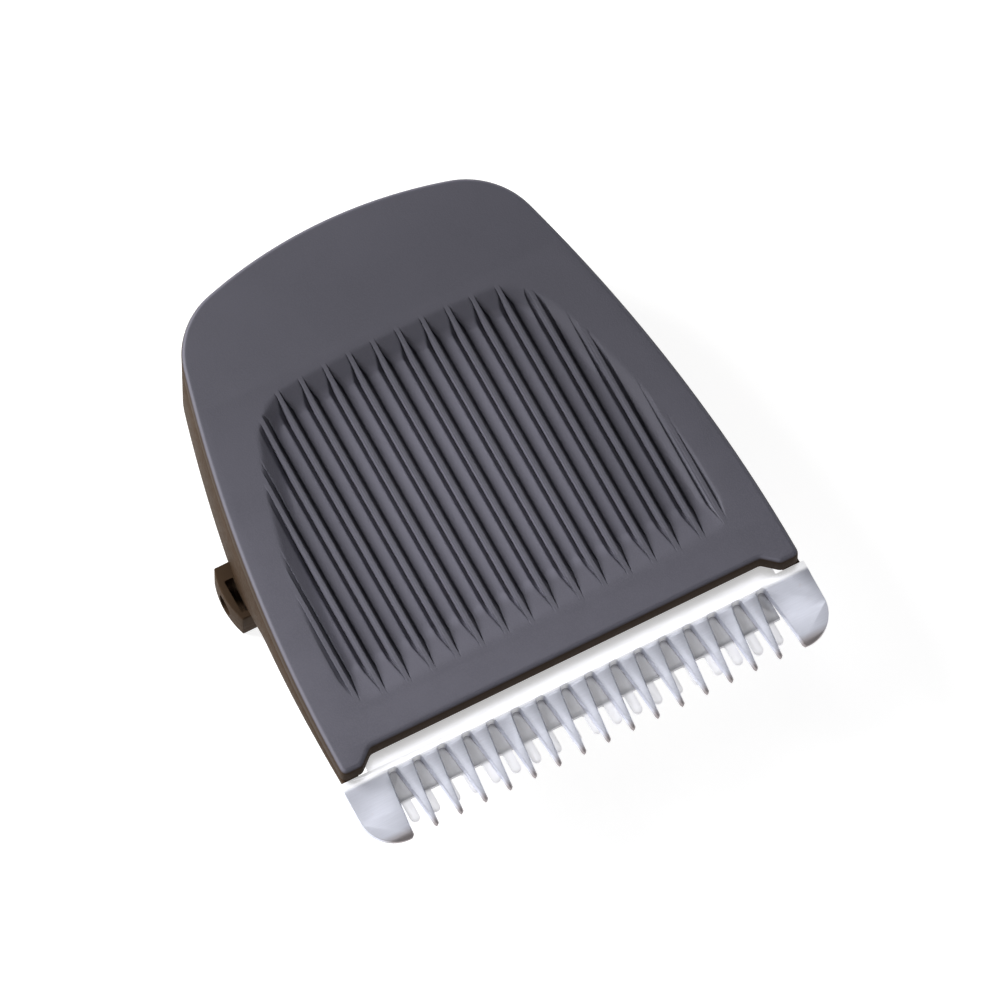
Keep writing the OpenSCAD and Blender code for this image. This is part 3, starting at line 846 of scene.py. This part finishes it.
def build_cover(sizes):
    """The face cover: ribbed scoop, rounded rim, mouth between the feet, screw bosses below."""
    rim, cover_t = sizes.rim_round, sizes.cover_t
    loop = cover_loop(sizes)
    turns = [math.radians(90 * i / 6) for i in range(7)]
    levels = [(-rim * (1 - math.cos(a)), rim * (1 - math.sin(a))) for a in turns]
    levels += [(-cover_t + 0.12, 0), (-cover_t + 0.04, 0.04), (-cover_t, 0.14)]
    inset_loop = [(x + s.x * rim, y + s.y * rim) for (x, y), s in zip(loop, inward(loop))]
    plate = joined([face_top(sizes, inset_loop), slab([loop], levels, open_top=True)])
    shell = make_object("cover_shell", plate, 50)
    bosses = [make_object("boss", boss_part(x, y, low, -cover_t + 0.3)) for name, x, y, low in head_screws()]
    return carve(shell, bosses, "UNION", 50)


def wall_low(sizes, y):
    """Height of the wall's lower edge at a place along the head."""
    nose, deep = -sizes.nose_depth, -sizes.wall_depth
    haunch = (sizes.arm_y - 6.7, (nose + deep) * 0.46)
    edge = [(-1, nose), (0.5, nose), (5.5, nose - 0.7), haunch, (sizes.arm_y - 0.4, deep), (60, deep)]
    return along(fillet(edge, 5, 8, closed=False), y)


def wall_part(cover, sizes):
    """The wall under the cover's rim, swept round from foot to foot with its lower edges rounded."""
    outline = back_outline(cover, 0)
    normals = []
    for i in range(len(outline)):
        run = Vector(outline[min(i + 1, len(outline) - 1)]) - Vector(outline[max(i - 1, 0)])
        normals.append(Vector((-run.y, run.x)).normalized())
    top, thick = -cover.cover_t, sizes.wall_t
    verts, faces = [], []
    for (x, y), n in zip(outline, normals):
        low = wall_low(sizes, y)
        section = [(0.14, top), (0.04, top - 0.05), (0, top - 0.14), (0, low + 0.35), (0.05, low + 0.16),
                   (0.16, low + 0.05), (0.35, low), (thick - 0.2, low), (thick - 0.06, low + 0.06),
                   (thick, low + 0.2), (thick, top)]
        verts += [spot(x + n.x * inset, y + n.y * inset, z) for inset, z in section]
    count = len(section)
    for i in range(len(outline) - 1):
        for k in range(count):
            a, b = i * count + k, i * count + (k + 1) % count
            faces.append((a, a + count, b + count, b))
    faces.append(tuple(range(count)))
    faces.append(tuple(range(len(verts) - 1, len(verts) - 1 - count, -1)))
    return verts, faces


def mirror_part(part):
    """The same solid on the other side of x = 0."""
    return [Vector((-v.x, v.y, v.z)) for v in part[0]], [tuple(reversed(face)) for face in part[1]]


def arm_parts(cover, sizes):
    """The right clip arm: (solids to join, solids to cut out)."""
    outer = side_x(cover, sizes.arm_y) + sizes.arm_proud
    slot_out = outer - sizes.arm_skin
    slot_in = slot_out - sizes.arm_slot_w
    root_in = slot_in - sizes.wall_t
    front, rear = sizes.arm_y - sizes.arm_half_l, sizes.arm_y + sizes.arm_half_l
    low = reach("frame")[0].z
    top = low + sizes.arm_h
    half_turn = math.degrees(math.asin(sizes.arm_half_l / sizes.arm_bow_r))
    bow = arc((outer - sizes.arm_bow_r, sizes.arm_y), sizes.arm_bow_r, -half_turn, half_turn, 24)
    block = fillet([(root_in, front), *bow, (root_in, rear)], 0.35)
    pocket = box_outline(slot_in, slot_out, front + sizes.arm_lip, rear - sizes.arm_bridge, 0.12)
    pocket_levels = [(top + 1, -0.05), (top - 0.15, 0), (low + sizes.arm_floor, 0.05)]
    hole = spot(root_in, sizes.arm_y, low + sizes.snap_hole_up)
    r = sizes.snap_hole_r
    through = outer - root_in
    profile = [(0, -0.5), (r + 0.6, -0.5), (r + 0.1, 0), (r, 0.1), (r, through + 0.4), (0, through + 0.4)]
    cuts = [slab([pocket], pocket_levels), lathe(profile, hole, (1, 0, 0), 40)]
    return [slab([block], rounded(top, low, 0.12, 3, 0.3))], cuts


def ear_parts(sizes):
    """The two ears that hold the right spring's pin."""
    pin_lo, pin_hi = reach("spring_pin_right")
    spring_lo, spring_hi = reach("leg_spring_right")
    middle_z = (pin_lo.z + pin_hi.z) / 2
    radius = (pin_hi.z - pin_lo.z) / 2
    half, top = 1.7, -2 - sizes.deck_t + 0.2
    outline = fillet([(sizes.coil_y - half, top), (sizes.coil_y - half, middle_z - half),
                      (sizes.coil_y + half, middle_z - half), (sizes.coil_y + half, top)], 0.9, 6)
    outline = [(y, min(z, top)) for y, z in outline]
    bore = ring((sizes.coil_y, middle_z), radius, 32)
    gaps = ((pin_lo.x, spring_lo.x - 0.15), (spring_hi.x + 0.15, pin_hi.x))
    return [slab([outline, bore], rounded(high, low, 0.08, 2), sideways) for low, high in gaps]


def build_frame(cover, sizes):
    """The frame: swept wall, deck with ribs, spring ears, clip arms and rear catch in one moulding."""
    top = -cover.cover_t
    low = top - sizes.deck_t
    back = [p for p in back_outline(cover, sizes.wall_t / 2) if p[1] > sizes.deck_front]
    deck_half = side_x(cover, sizes.deck_front) - sizes.wall_t / 2
    deck = fillet([(-deck_half, sizes.deck_front), (deck_half, sizes.deck_front), *back], 0.4)
    screws = [(x, y) for name, x, y, z in head_screws() if name.startswith("frame")]
    bores = [ring(place, SCREW_BORE_R, 40) for place in screws]
    adds = [slab([deck, *bores], rounded(top, low, 0.05, 1, 0.15))]
    rear_y = reach("face_cover")[1].y
    for y in (sizes.coil_y + 5, rear_y - 13):
        half = side_x(cover, y) - sizes.wall_t / 2
        rib = box_outline(-half, half, y, y + 1, 0.1)
        adds.append(slab([rib], rounded(low + 0.2, low - 1, 0.05, 1, 0.3)))
    hook = [(-1.4, 2), (-0.45, 2), (-0.45, -1.8), (-0.9, -2.2), (-2.3, -1.4), (-2.3, -0.6), (-1.4, -0.3)]
    hook = [(rear_y + y, -sizes.wall_depth + z) for y, z in reversed(hook)]
    adds.append(slab([fillet(hook, 0.25)], rounded(sizes.catch_half_w, -sizes.catch_half_w, 0.3), sideways))
    ears = ear_parts(sizes)
    adds += ears + [mirror_part(part) for part in ears]
    arm_adds, arm_cuts = arm_parts(cover, sizes)
    tools = [make_object("add", part) for part in adds]
    for turn in (lambda part: part, mirror_part):
        cuts = [make_object("cut", turn(part)) for part in arm_cuts]
        tools.append(carve(make_object("arm", turn(arm_adds[0])), cuts, "DIFFERENCE"))
    return carve(make_object("frame_shell", wall_part(cover, sizes)), tools, "UNION")


def guard_outline(cover, frame_sizes, sizes):
    """The guard's outline: narrow body behind, end lobes, teeth with rounded gap roots between them."""
    lo, hi = reach("guard_blade")
    body_half = side_x(cover, frame_sizes.deck_front) - frame_sizes.wall_t - 0.3
    root_r, lobe_r = 0.45, sizes.lobe_r
    points = [(-body_half, hi.y), (-body_half, 0.0), (lo.x, 0.0)]
    points += arc((lo.x + lobe_r, lo.y + lobe_r), lobe_r, 180, 270, 20)
    for i in range(-sizes.gap_pairs, sizes.gap_pairs):
        c = (i + 0.5) * sizes.tooth_pitch
        points += [(c - 1.32, lo.y + 0.02), (c - 1.1, lo.y + 0.3), (c - 0.8, -4.0)]
        points += arc((c, sizes.bevel_y), root_r, 180, 0, 12)
        points += [(c + 0.8, -4.0), (c + 1.1, lo.y + 0.3)]
    points.append((sizes.gap_pairs * sizes.tooth_pitch - 0.02, lo.y + 0.02))
    points += arc((hi.x - lobe_r, lo.y + lobe_r), lobe_r, 270, 360, 20)
    points += [(hi.x, 0.0), (body_half, 0.0), (body_half, hi.y)]
    return points


def ground(sizes):
    """Reshapes guard points: gap walls that lean outwards, teeth that thin towards their tips."""
    lo, hi = reach("guard_blade")
    drop = [(0, 0), (0.45, 0.1), (-sizes.bevel_y - lo.y - 2.8, hi.z - lo.z - sizes.tip_t - 0.02),
            (sizes.bevel_y - lo.y, hi.z - lo.z - sizes.tip_t + 0.15)]
    toothed = sizes.gap_pairs * sizes.tooth_pitch

    def shape(co):
        x, y, z = co.x / MM, (co.y - COVER_LO.y) / MM, (co.z - COVER_HI.z) / MM
        share = (z - lo.z) / (hi.z - lo.z)
        if y < sizes.bevel_y + 0.5 and abs(x) < toothed:
            middle = (math.floor(x / sizes.tooth_pitch) + 0.5) * sizes.tooth_pitch
            away = Vector((x - middle, max(y - sizes.bevel_y, 0)))
            if away.length > 1e-6:
                step = away.normalized() * sizes.gap_slope * (share - 0.5)
                x, y = x + step.x, y + step.y
        if y < sizes.bevel_y:
            z = lo.z + (z - lo.z) * (1 - along(drop, sizes.bevel_y - y) / (hi.z - lo.z))
        return spot(x, max(y, lo.y), z)

    return shape


def build_guard(cover, frame_sizes, sizes):
    """The fixed comb of ground steel."""
    lo, hi = reach("guard_blade")
    holes = []
    for name, x, y, z in head_screws():
        if name.startswith("clamp"):
            holes.append(ring((x, y), 2.1, 40))
    for side in ("left", "right"):
        pin_lo, pin_hi = reach(f"locating_pin_{side}")
        holes.append(ring(((pin_lo.x + pin_hi.x) / 2, (pin_lo.y + pin_hi.y) / 2), 0.75, 32))
    loop = guard_outline(cover, frame_sizes, sizes)
    part = slab([loop, *holes], rounded(hi.z, lo.z, 0.05, 2, 0.03))
    cuts = (sizes.bevel_y, sizes.bevel_y - 0.45, -4.5, -6.9)
    return make_object("guard_comb", part, 32, cuts, ground(sizes))


def cutter_outline(sizes):
    """The cutter's outline with its row of round-tipped teeth."""
    lo, hi = reach("cutter_blade")
    middle, half_w = (lo.x + hi.x) / 2, sizes.cutter_tooth_w / 2
    root = lo.y + 2.35
    points = [(lo.x, hi.y), (lo.x, root)]
    for i in range(-sizes.cutter_side_teeth, sizes.cutter_side_teeth + 1):
        c = middle + i * sizes.cutter_pitch
        points += [(c - half_w - 0.12, root), (c - half_w, root - 0.12)]
        points += arc((c, lo.y + half_w), half_w, 180, 360, 12)
        points += [(c + half_w, root - 0.12), (c + half_w + 0.12, root)]
    return points + [(hi.x, root), (hi.x, hi.y)]


def build_cutter(sizes):
    """The moving comb under the guard."""
    lo, hi = reach("cutter_blade")
    middle = (lo.x + hi.x) / 2
    rivets = [reach(f"carrier_rivet_{side}") for side in ("left", "right")]
    rivet_y = (rivets[0][0].y + rivets[0][1].y) / 2
    holes = [ring(((a.x + b.x) / 2, rivet_y), RIVET_HOLE_R, 32) for a, b in rivets]
    window = box_outline(middle - 8, middle + 8, rivet_y - 1, rivet_y + 1, 0.4)
    tooth_root = lo.y + 2.35

    def thin(co):
        y, z = (co.y - COVER_LO.y) / MM, (co.z - COVER_HI.z) / MM
        share = max(0.0, min(1.0, (tooth_root + 0.6 - y) / (tooth_root + 0.6 - lo.y)))
        return Vector((co.x, co.y, co.z + (hi.z - z) * share * 0.45 * MM))

    loops = [cutter_outline(sizes), *holes, window[::-1]]
    comb = slab(loops, rounded(hi.z, lo.z, 0.03, 2, 0.05))
    return make_object("cutter_comb", comb, 32, (tooth_root + 0.6,), thin)


def build_clamp():
    """The bar that clamps the guard, with three lightening pockets below."""
    lo, hi = reach("blade_clamp")
    middle_y = (lo.y + hi.y) / 2
    holes = [ring((x, y), SCREW_BORE_R, 40) for name, x, y, z in head_screws() if name.startswith("clamp")]
    for side in ("left", "right"):
        pin_lo, pin_hi = reach(f"locating_pin_{side}")
        holes.append(ring(((pin_lo.x + pin_hi.x) / 2, middle_y), PIN_HOLE_R, 32))
    bar = make_object("clamp_bar", slab([box_outline(lo.x, hi.x, lo.y, hi.y, 0.7), *holes],
                                        rounded(hi.z, lo.z, 0.08, 2, 0.25)))
    pockets = []
    for i in (-1, 0, 1):
        outline = box_outline(i * 3.2 - 1.1, i * 3.2 + 1.1, middle_y - 1.6, middle_y + 1.6, 0.4)
        hollow = slab([outline], [(lo.z + 1, 0.12), (lo.z + 0.9, 0.04), (lo.z - 1, -0.02)])
        pockets.append(make_object("pocket", hollow))
    return carve(bar, pockets, "DIFFERENCE")


def build_carrier():
    """The carrier under the cutter: recesses for the spring seats and two stakes for the fork."""
    lo, hi = reach("cutter_carrier")
    seats = [reach(f"spring_seat_{side}") for side in ("left", "right")]
    fork_lo, fork_hi = reach("drive_fork")
    low = seats[0][0].z
    middle = (fork_lo.x + fork_hi.x) / 2
    block = make_object("carrier_block", slab([box_outline(lo.x, hi.x, lo.y, hi.y, 0.6)],
                                              rounded(hi.z, low, 0.1, 3, 0.3)))
    stakes = []
    for side in (-1, 1):
        profile = [(0, low + 0.5), (STAKE_R, low + 0.5), (STAKE_R, lo.z + 0.25), (0.5, lo.z + 0.06),
                   (0, lo.z)]
        foot = spot(middle + side * STAKE_X, STAKE_Y, 0)
        stakes.append(make_object("stake", lathe(profile, foot, (0, 0, 1))))
    carve(block, stakes, "UNION")
    recesses = []
    for a, b in seats:
        outline = box_outline(a.x, b.x, a.y, b.y, 0.2)
        recesses.append(make_object("recess", slab([outline], [(b.z, 0), (a.z - 1, 0)])))
    for side in (-1, 1):
        outline = box_outline(middle + side * 7.5 - 1, middle + side * 7.5 + 1, lo.y + 0.9, lo.y + 1.9, 0.4)
        recesses.append(make_object("recess", slab([outline], [(low + 0.6, 0.2), (low - 1, -0.05)])))
    return carve(block, recesses, "DIFFERENCE")


def build_fork(sizes):
    """The slotted fork that takes the drive pin."""
    lo, hi = reach("drive_fork")
    middle, slot = (lo.x + hi.x) / 2, sizes.slot_w / 2
    slot_front = hi.y - 5.5
    bridge = slot_front - 1.4
    prongs = [(lo.x, bridge), (hi.x, bridge), (hi.x, hi.y), (middle + slot, hi.y),
              (middle + slot, slot_front), (middle - slot, slot_front), (middle - slot, hi.y), (lo.x, hi.y)]
    stakes = [ring((middle + side * STAKE_X, STAKE_Y), STAKE_R, 32) for side in (-1, 1)]
    outline = box_outline(lo.x, hi.x, lo.y, bridge + 0.6, 0.5)
    plate = slab([outline, *stakes], rounded(hi.z, hi.z - 1.2, 0.08, 2, 0.2))
    fork = make_object("fork_arms", slab([fillet(prongs, 0.45)], rounded(hi.z, lo.z, 0.08, 3, 0.3)))
    return carve(fork, [make_object("plate", plate)], "UNION")


def build_screw(name, x, y, under):
    """A pan-head screw with a cross recess, driven upwards."""
    profile = [(0, 2.4), (0.55, 2.4), (0.9, 2.05), (0.9, 0.12), (1.05, 0), (2.42, 0), (2.5, -0.1),
               (2.5, -0.45), (2.36, -0.8), (2.0, -1.0), (1.5, -1.09), (0, -1.1)]
    screw = make_object(name, lathe(profile, spot(x, y, under), (0, 0, 1), 56))
    arms = [(-0.3, -1.4), (0.3, -1.4), (0.3, -0.3), (1.4, -0.3), (1.4, 0.3), (0.3, 0.3),
            (0.3, 1.4), (-0.3, 1.4), (-0.3, 0.3), (-1.4, 0.3), (-1.4, -0.3), (-0.3, -0.3)]
    turn = math.radians(20 + 31 * x)
    along, aside = math.cos(turn), math.sin(turn)
    cross = [(x + u * along - v * aside, y + u * aside + v * along) for u, v in arms]
    punch = slab([cross], [(under - 0.35, 0.18), (under - 1.5, -0.04)])
    return carve(screw, [make_object("punch", punch)], "DIFFERENCE")


def pin_profile(radius, start, end, chamfer=0.15):
    """A plain pin with chamfered ends and a small centre mark at each."""
    return [(0, start + 0.08), (0.12, start), (radius - chamfer, start), (radius, start + chamfer),
            (radius, end - chamfer), (radius - chamfer, end), (0.12, end), (0, end - 0.08)]


def spring_route(sizes, side):
    """Middle line of a leg spring: front leg, coil about x, short leg up to the deck."""
    lo, hi = reach("leg_spring_right")
    wire_r, coil_r = sizes.wire_d / 2, sizes.coil_r
    x0, x1 = lo.x + wire_r, hi.x - wire_r
    coil_y, coil_z = hi.y - coil_r - wire_r, lo.z + coil_r + wire_r
    end, steps = 3 * 360 + 300, 184
    points = [(x0, lo.y + (coil_y - 1.2 - lo.y) * i / 12, coil_z + coil_r) for i in range(13)]
    for i in range(steps + 1):
        turn = math.radians(end * i / steps)
        y, z = coil_y + coil_r * math.sin(turn), coil_z + coil_r * math.cos(turn)
        points.append((x0 + (x1 - x0) * i / steps, y, z))
    x, y, z = points[-1]
    leg = (hi.z - wire_r - z) / math.sin(math.radians(60))
    points += [(x, y + leg * i / 6 * 0.5, z + leg * i / 6 * math.sin(math.radians(60))) for i in range(1, 7)]
    return [spot(side * x, y, z) for x, y, z in points]


def build_spring(name, sizes, side):
    """A leg spring as a round wire along its route."""
    curve = bpy.data.curves.new(name, "CURVE")
    curve.dimensions = "3D"
    curve.bevel_depth = sizes.wire_d / 2 * MM
    curve.bevel_resolution = 5
    curve.use_fill_caps = True
    route = spring_route(sizes, side)
    spline = curve.splines.new("POLY")
    spline.points.add(len(route) - 1)
    for point, place in zip(spline.points, route):
        point.co = (*place, 1)
    spline.use_smooth = True
    spring = bpy.data.objects.new(name, curve)
    bpy.context.scene.collection.objects.link(spring)
    return spring


# ---------------------------------------------------------------- operators

class PieceOperator:
    """What every piece's operator shares."""

    bl_options = {"REGISTER", "UNDO"}

    def execute(self, context):
        self.build(context.scene)
        return {"FINISHED"}


class HEAD_OT_cover(PieceOperator, bpy.types.Operator):
    """Build the ribbed face cover"""

    bl_idname = "head.cover"
    bl_label = "Face cover"

    def build(self, scene):
        shell = build_cover(scene.head_cover)
        fit_out(shell, "head", "face_plastic", moulded_face(scene.head_look), "face_cover")


class HEAD_OT_frame(PieceOperator, bpy.types.Operator):
    """Build the frame with its clip arms"""

    bl_idname = "head.frame"
    bl_label = "Frame"

    def build(self, scene):
        shell = build_frame(scene.head_cover, scene.head_frame)
        fit_out(shell, "head", "frame_plastic", moulded_frame(scene.head_look), "frame")


class HEAD_OT_guard(PieceOperator, bpy.types.Operator):
    """Build the fixed steel comb"""

    bl_idname = "head.guard"
    bl_label = "Guard blade"

    def build(self, scene):
        lo = reach("guard_blade")[0]
        tip = lo.y + COVER_LO.y / MM
        look = scene.head_look
        # the guard's steel behind the bevel line gets the painted highlight and glow
        steel = ground_steel("guard_steel", look.guard_colour, look, (0.5, 9.0), tip + 0.2, tip + 1.3, 0.3,
                             (COVER_LO.y / MM + scene.head_blades.bevel_y + 0.35, 1, 0.85))
        comb = build_guard(scene.head_cover, scene.head_frame, scene.head_blades)
        fit_out(comb, "head", "guard_steel", steel, "guard_blade")


class HEAD_OT_cutter(PieceOperator, bpy.types.Operator):
    """Build the moving steel comb"""

    bl_idname = "head.cutter"
    bl_label = "Cutter blade"

    def build(self, scene):
        tip = reach("cutter_blade")[0].y + COVER_LO.y / MM
        look = scene.head_look
        # the cutter's teeth get the painted highlight and glow
        steel = ground_steel("cutter_steel", look.cutter_colour, look, (8.0, 0.6), tip - 0.4, tip + 0.5, 0.3,
                             (tip + 2.2, -1, 0.32))
        fit_out(build_cutter(scene.head_blades), "cutter", "cutter_steel", steel, "cutter_blade")


class HEAD_OT_clamp(PieceOperator, bpy.types.Operator):
    """Build the bar that clamps the guard"""

    bl_idname = "head.clamp"
    bl_label = "Blade clamp"

    def build(self, scene):
        look = moulded_frame(scene.head_look)
        fit_out(build_clamp(), "head", "frame_plastic", look, "blade_clamp")


class HEAD_OT_carrier(PieceOperator, bpy.types.Operator):
    """Build the cutter's carrier"""

    bl_idname = "head.carrier"
    bl_label = "Cutter carrier"

    def build(self, scene):
        plastic = acetal("natural_acetal", scene.head_look.carrier_colour, 0.36, 0.2)
        fit_out(build_carrier(), "cutter", "carrier_plastic", plastic, "cutter_carrier")


class HEAD_OT_fork(PieceOperator, bpy.types.Operator):
    """Build the slotted drive fork"""

    bl_idname = "head.fork"
    bl_label = "Drive fork"

    def build(self, scene):
        plastic = acetal("black_acetal", scene.head_look.fork_colour, 0.34, 0.22)
        fit_out(build_fork(scene.head_blades), "cutter", "fork_plastic", plastic, "drive_fork")


class HEAD_OT_screws(PieceOperator, bpy.types.Operator):
    """Build the four screws"""

    bl_idname = "head.screws"
    bl_label = "Screws"

    def build(self, scene):
        zinc = turned_metal("screw_zinc", scene.head_look.screw_colour, 0.3)
        for node, x, y, under in head_screws():
            fit_out(build_screw(f"{node}_zinc", x, y, under), "head", "screw_steel", zinc, node)


class HEAD_OT_pins(PieceOperator, bpy.types.Operator):
    """Build the locating pins and the spring pins"""

    bl_idname = "head.pins"
    bl_label = "Pins"

    def build(self, scene):
        steel = turned_metal("pin_steel", scene.head_look.screw_colour, 0.22)
        for kind, axis in (("locating_pin", 2), ("spring_pin", 0)):
            for side in ("left", "right"):
                lo, hi = reach(f"{kind}_{side}")
                centre = (lo + hi) / 2
                half, radius = (hi - lo)[axis] / 2, (hi - lo)[1] / 2
                direction = Vector([float(i == axis) for i in range(3)])
                part = lathe(pin_profile(radius, -half, half), spot(*centre), direction)
                pin = make_object(f"{kind}_{side}_steel", part)
                fit_out(pin, "head", "screw_steel", steel, f"{kind}_{side}")


class HEAD_OT_rivets(PieceOperator, bpy.types.Operator):
    """Build the carrier's two rivets"""

    bl_idname = "head.rivets"
    bl_label = "Rivets"

    def build(self, scene):
        brass = turned_metal("rivet_brass", scene.head_look.brass_colour, 0.28)
        for side in ("left", "right"):
            lo, hi = reach(f"carrier_rivet_{side}")
            centre, tall = (lo + hi) / 2, hi.z - lo.z
            profile = [(0, 0.1), (0.3, 0.06), (0.42, 0.0), (0.95, 0.05), (1.32, 0.2), (1.48, 0.42),
                       (1.5, 0.6), (1.09, 0.6), (1.09, tall - 0.08), (1.0, tall), (0, tall)]
            part = lathe(profile, spot(centre.x, centre.y, lo.z), (0, 0, 1))
            rivet = make_object(f"carrier_rivet_{side}_brass", part)
            fit_out(rivet, "cutter", "rivet_brass", brass, f"carrier_rivet_{side}")


class HEAD_OT_springs(PieceOperator, bpy.types.Operator):
    """Build the leg springs and the seats under their legs"""

    bl_idname = "head.springs"
    bl_label = "Springs and seats"

    def build(self, scene):
        wire = turned_metal("spring_wire", scene.head_look.wire_colour, 0.25)
        for side, sign in (("left", -1), ("right", 1)):
            spring = build_spring(f"leg_spring_{side}_wire", scene.head_blades, sign)
            fit_out(spring, "head", "spring_steel", wire, f"leg_spring_{side}")
            lo, hi = reach(f"spring_seat_{side}")
            outline = box_outline(lo.x, hi.x, lo.y, hi.y, 0.2)
            plate = slab([outline], rounded(hi.z, lo.z, 0.03, 2, 0.08))
            seat = make_object(f"spring_seat_{side}_plate", plate)
            fit_out(seat, "cutter", "spring_steel", wire, f"spring_seat_{side}")


class HEAD_OT_stage(PieceOperator, bpy.types.Operator):
    """Build the floor, the lights and the camera"""

    bl_idname = "head.stage"
    bl_label = "Stage"

    def build(self, scene):
        stage = scene.head_stage
        self.floor(stage)
        target = spot(*stage.aim)
        self.light("key_light", target, (-0.72, 0.7), 30, 0.55, 0.3, stage.key_power)
        self.light("top_light", target, (0.45, 0.89), 68, 0.9, 0.55, stage.top_power)
        self.light("front_fill", target, (-0.5, -0.86), 25, 0.9, 0.5, stage.top_power * 0.25)
        self.surroundings(scene)
        self.camera(scene, stage, target)

    def floor(self, stage):
        mesh = bpy.data.meshes.new("floor")
        work = bmesh.new()
        bmesh.ops.create_grid(work, x_segments=24, y_segments=24, size=2.0)
        work.to_mesh(mesh)
        work.free()
        floor = bpy.data.objects.new("floor", mesh)
        mesh.materials.append(pale_sweep(stage))
        bpy.context.scene.collection.objects.link(floor)

    def light(self, name, target, heading, height, distance, size, power):
        """An area light turned to the target. heading is where it stands in plan, height its angle up."""
        lamp = bpy.data.lights.new(name, "AREA")
        lamp.shape = "DISK"
        lamp.size = size
        lamp.energy = power
        plan = Vector(heading).normalized()
        up = math.radians(height)
        away = Vector((plan.x * math.cos(up), plan.y * math.cos(up), math.sin(up)))
        holder = bpy.data.objects.new(name, lamp)
        holder.location = target + away * distance
        holder.rotation_mode = "QUATERNION"
        holder.rotation_quaternion = (-away).to_track_quat("-Z", "Y")
        bpy.context.scene.collection.objects.link(holder)

    def surroundings(self, scene):
        """A white background for the camera that lights the head only a little."""
        world = bpy.data.worlds.new("studio")
        world.use_nodes = True
        tree = world.node_tree
        tree.nodes.clear()
        sky = tree.nodes.new("ShaderNodeBackground")
        sky.inputs[0].default_value = (1.0, 1.0, 1.0, 1.0)
        seen = tree.nodes.new("ShaderNodeLightPath").outputs["Is Camera Ray"]
        strength = tree.nodes.new("ShaderNodeMapRange")
        strength.inputs["To Min"].default_value = 0.16
        strength.inputs["To Max"].default_value = 0.98
        tree.links.new(seen, strength.inputs["Value"])
        tree.links.new(strength.outputs[0], sky.inputs[1])
        tree.links.new(sky.outputs[0], tree.nodes.new("ShaderNodeOutputWorld").inputs[0])
        scene.world = world
        scene.view_settings.view_transform = "Standard"

    def camera(self, scene, stage, target):
        lens = bpy.data.cameras.new("camera")
        lens.lens = stage.lens
        lens.sensor_width = 36
        turn, up = math.radians(stage.azimuth), math.radians(stage.elevation)
        away = Vector((math.sin(turn) * math.cos(up), -math.cos(turn) * math.cos(up), math.sin(up)))
        distance = stage.frame_width * MM * lens.lens / lens.sensor_width
        lens.clip_start, lens.clip_end = 0.01, distance * 4
        camera = bpy.data.objects.new("camera", lens)
        camera.location = target + away * distance
        camera.rotation_mode = "QUATERNION"
        camera.rotation_quaternion = (-away).to_track_quat("-Z", "Y")
        scene.collection.objects.link(camera)
        scene.camera = camera


STEPS = (HEAD_OT_cover, HEAD_OT_frame, HEAD_OT_guard, HEAD_OT_cutter, HEAD_OT_clamp, HEAD_OT_carrier,
         HEAD_OT_fork, HEAD_OT_screws, HEAD_OT_pins, HEAD_OT_rivets, HEAD_OT_springs, HEAD_OT_stage)


class HEAD_PT_panel(bpy.types.Panel):
    """Lists the pieces in the 3D view's sidebar"""

    bl_idname = "HEAD_PT_panel"
    bl_label = "Blade head"
    bl_space_type = "VIEW_3D"
    bl_region_type = "UI"
    bl_category = "Blade head"

    def draw(self, context):
        for step in STEPS:
            self.layout.operator(step.bl_idname)


def register():
    for group in (*GROUPS.values(), *STEPS, HEAD_PT_panel):
        bpy.utils.register_class(group)
    for name, group in GROUPS.items():
        setattr(bpy.types.Scene, name, bpy.props.PointerProperty(type=group))


def unregister():
    for name in GROUPS:
        delattr(bpy.types.Scene, name)
    for group in reversed((*GROUPS.values(), *STEPS, HEAD_PT_panel)):
        bpy.utils.unregister_class(group)


def main():
    register()
    for step in STEPS:
        area, name = step.bl_idname.split(".")
        getattr(getattr(bpy.ops, area), name)()
    bpy.context.view_layer.update()


if __name__ == "__main__":
    main()
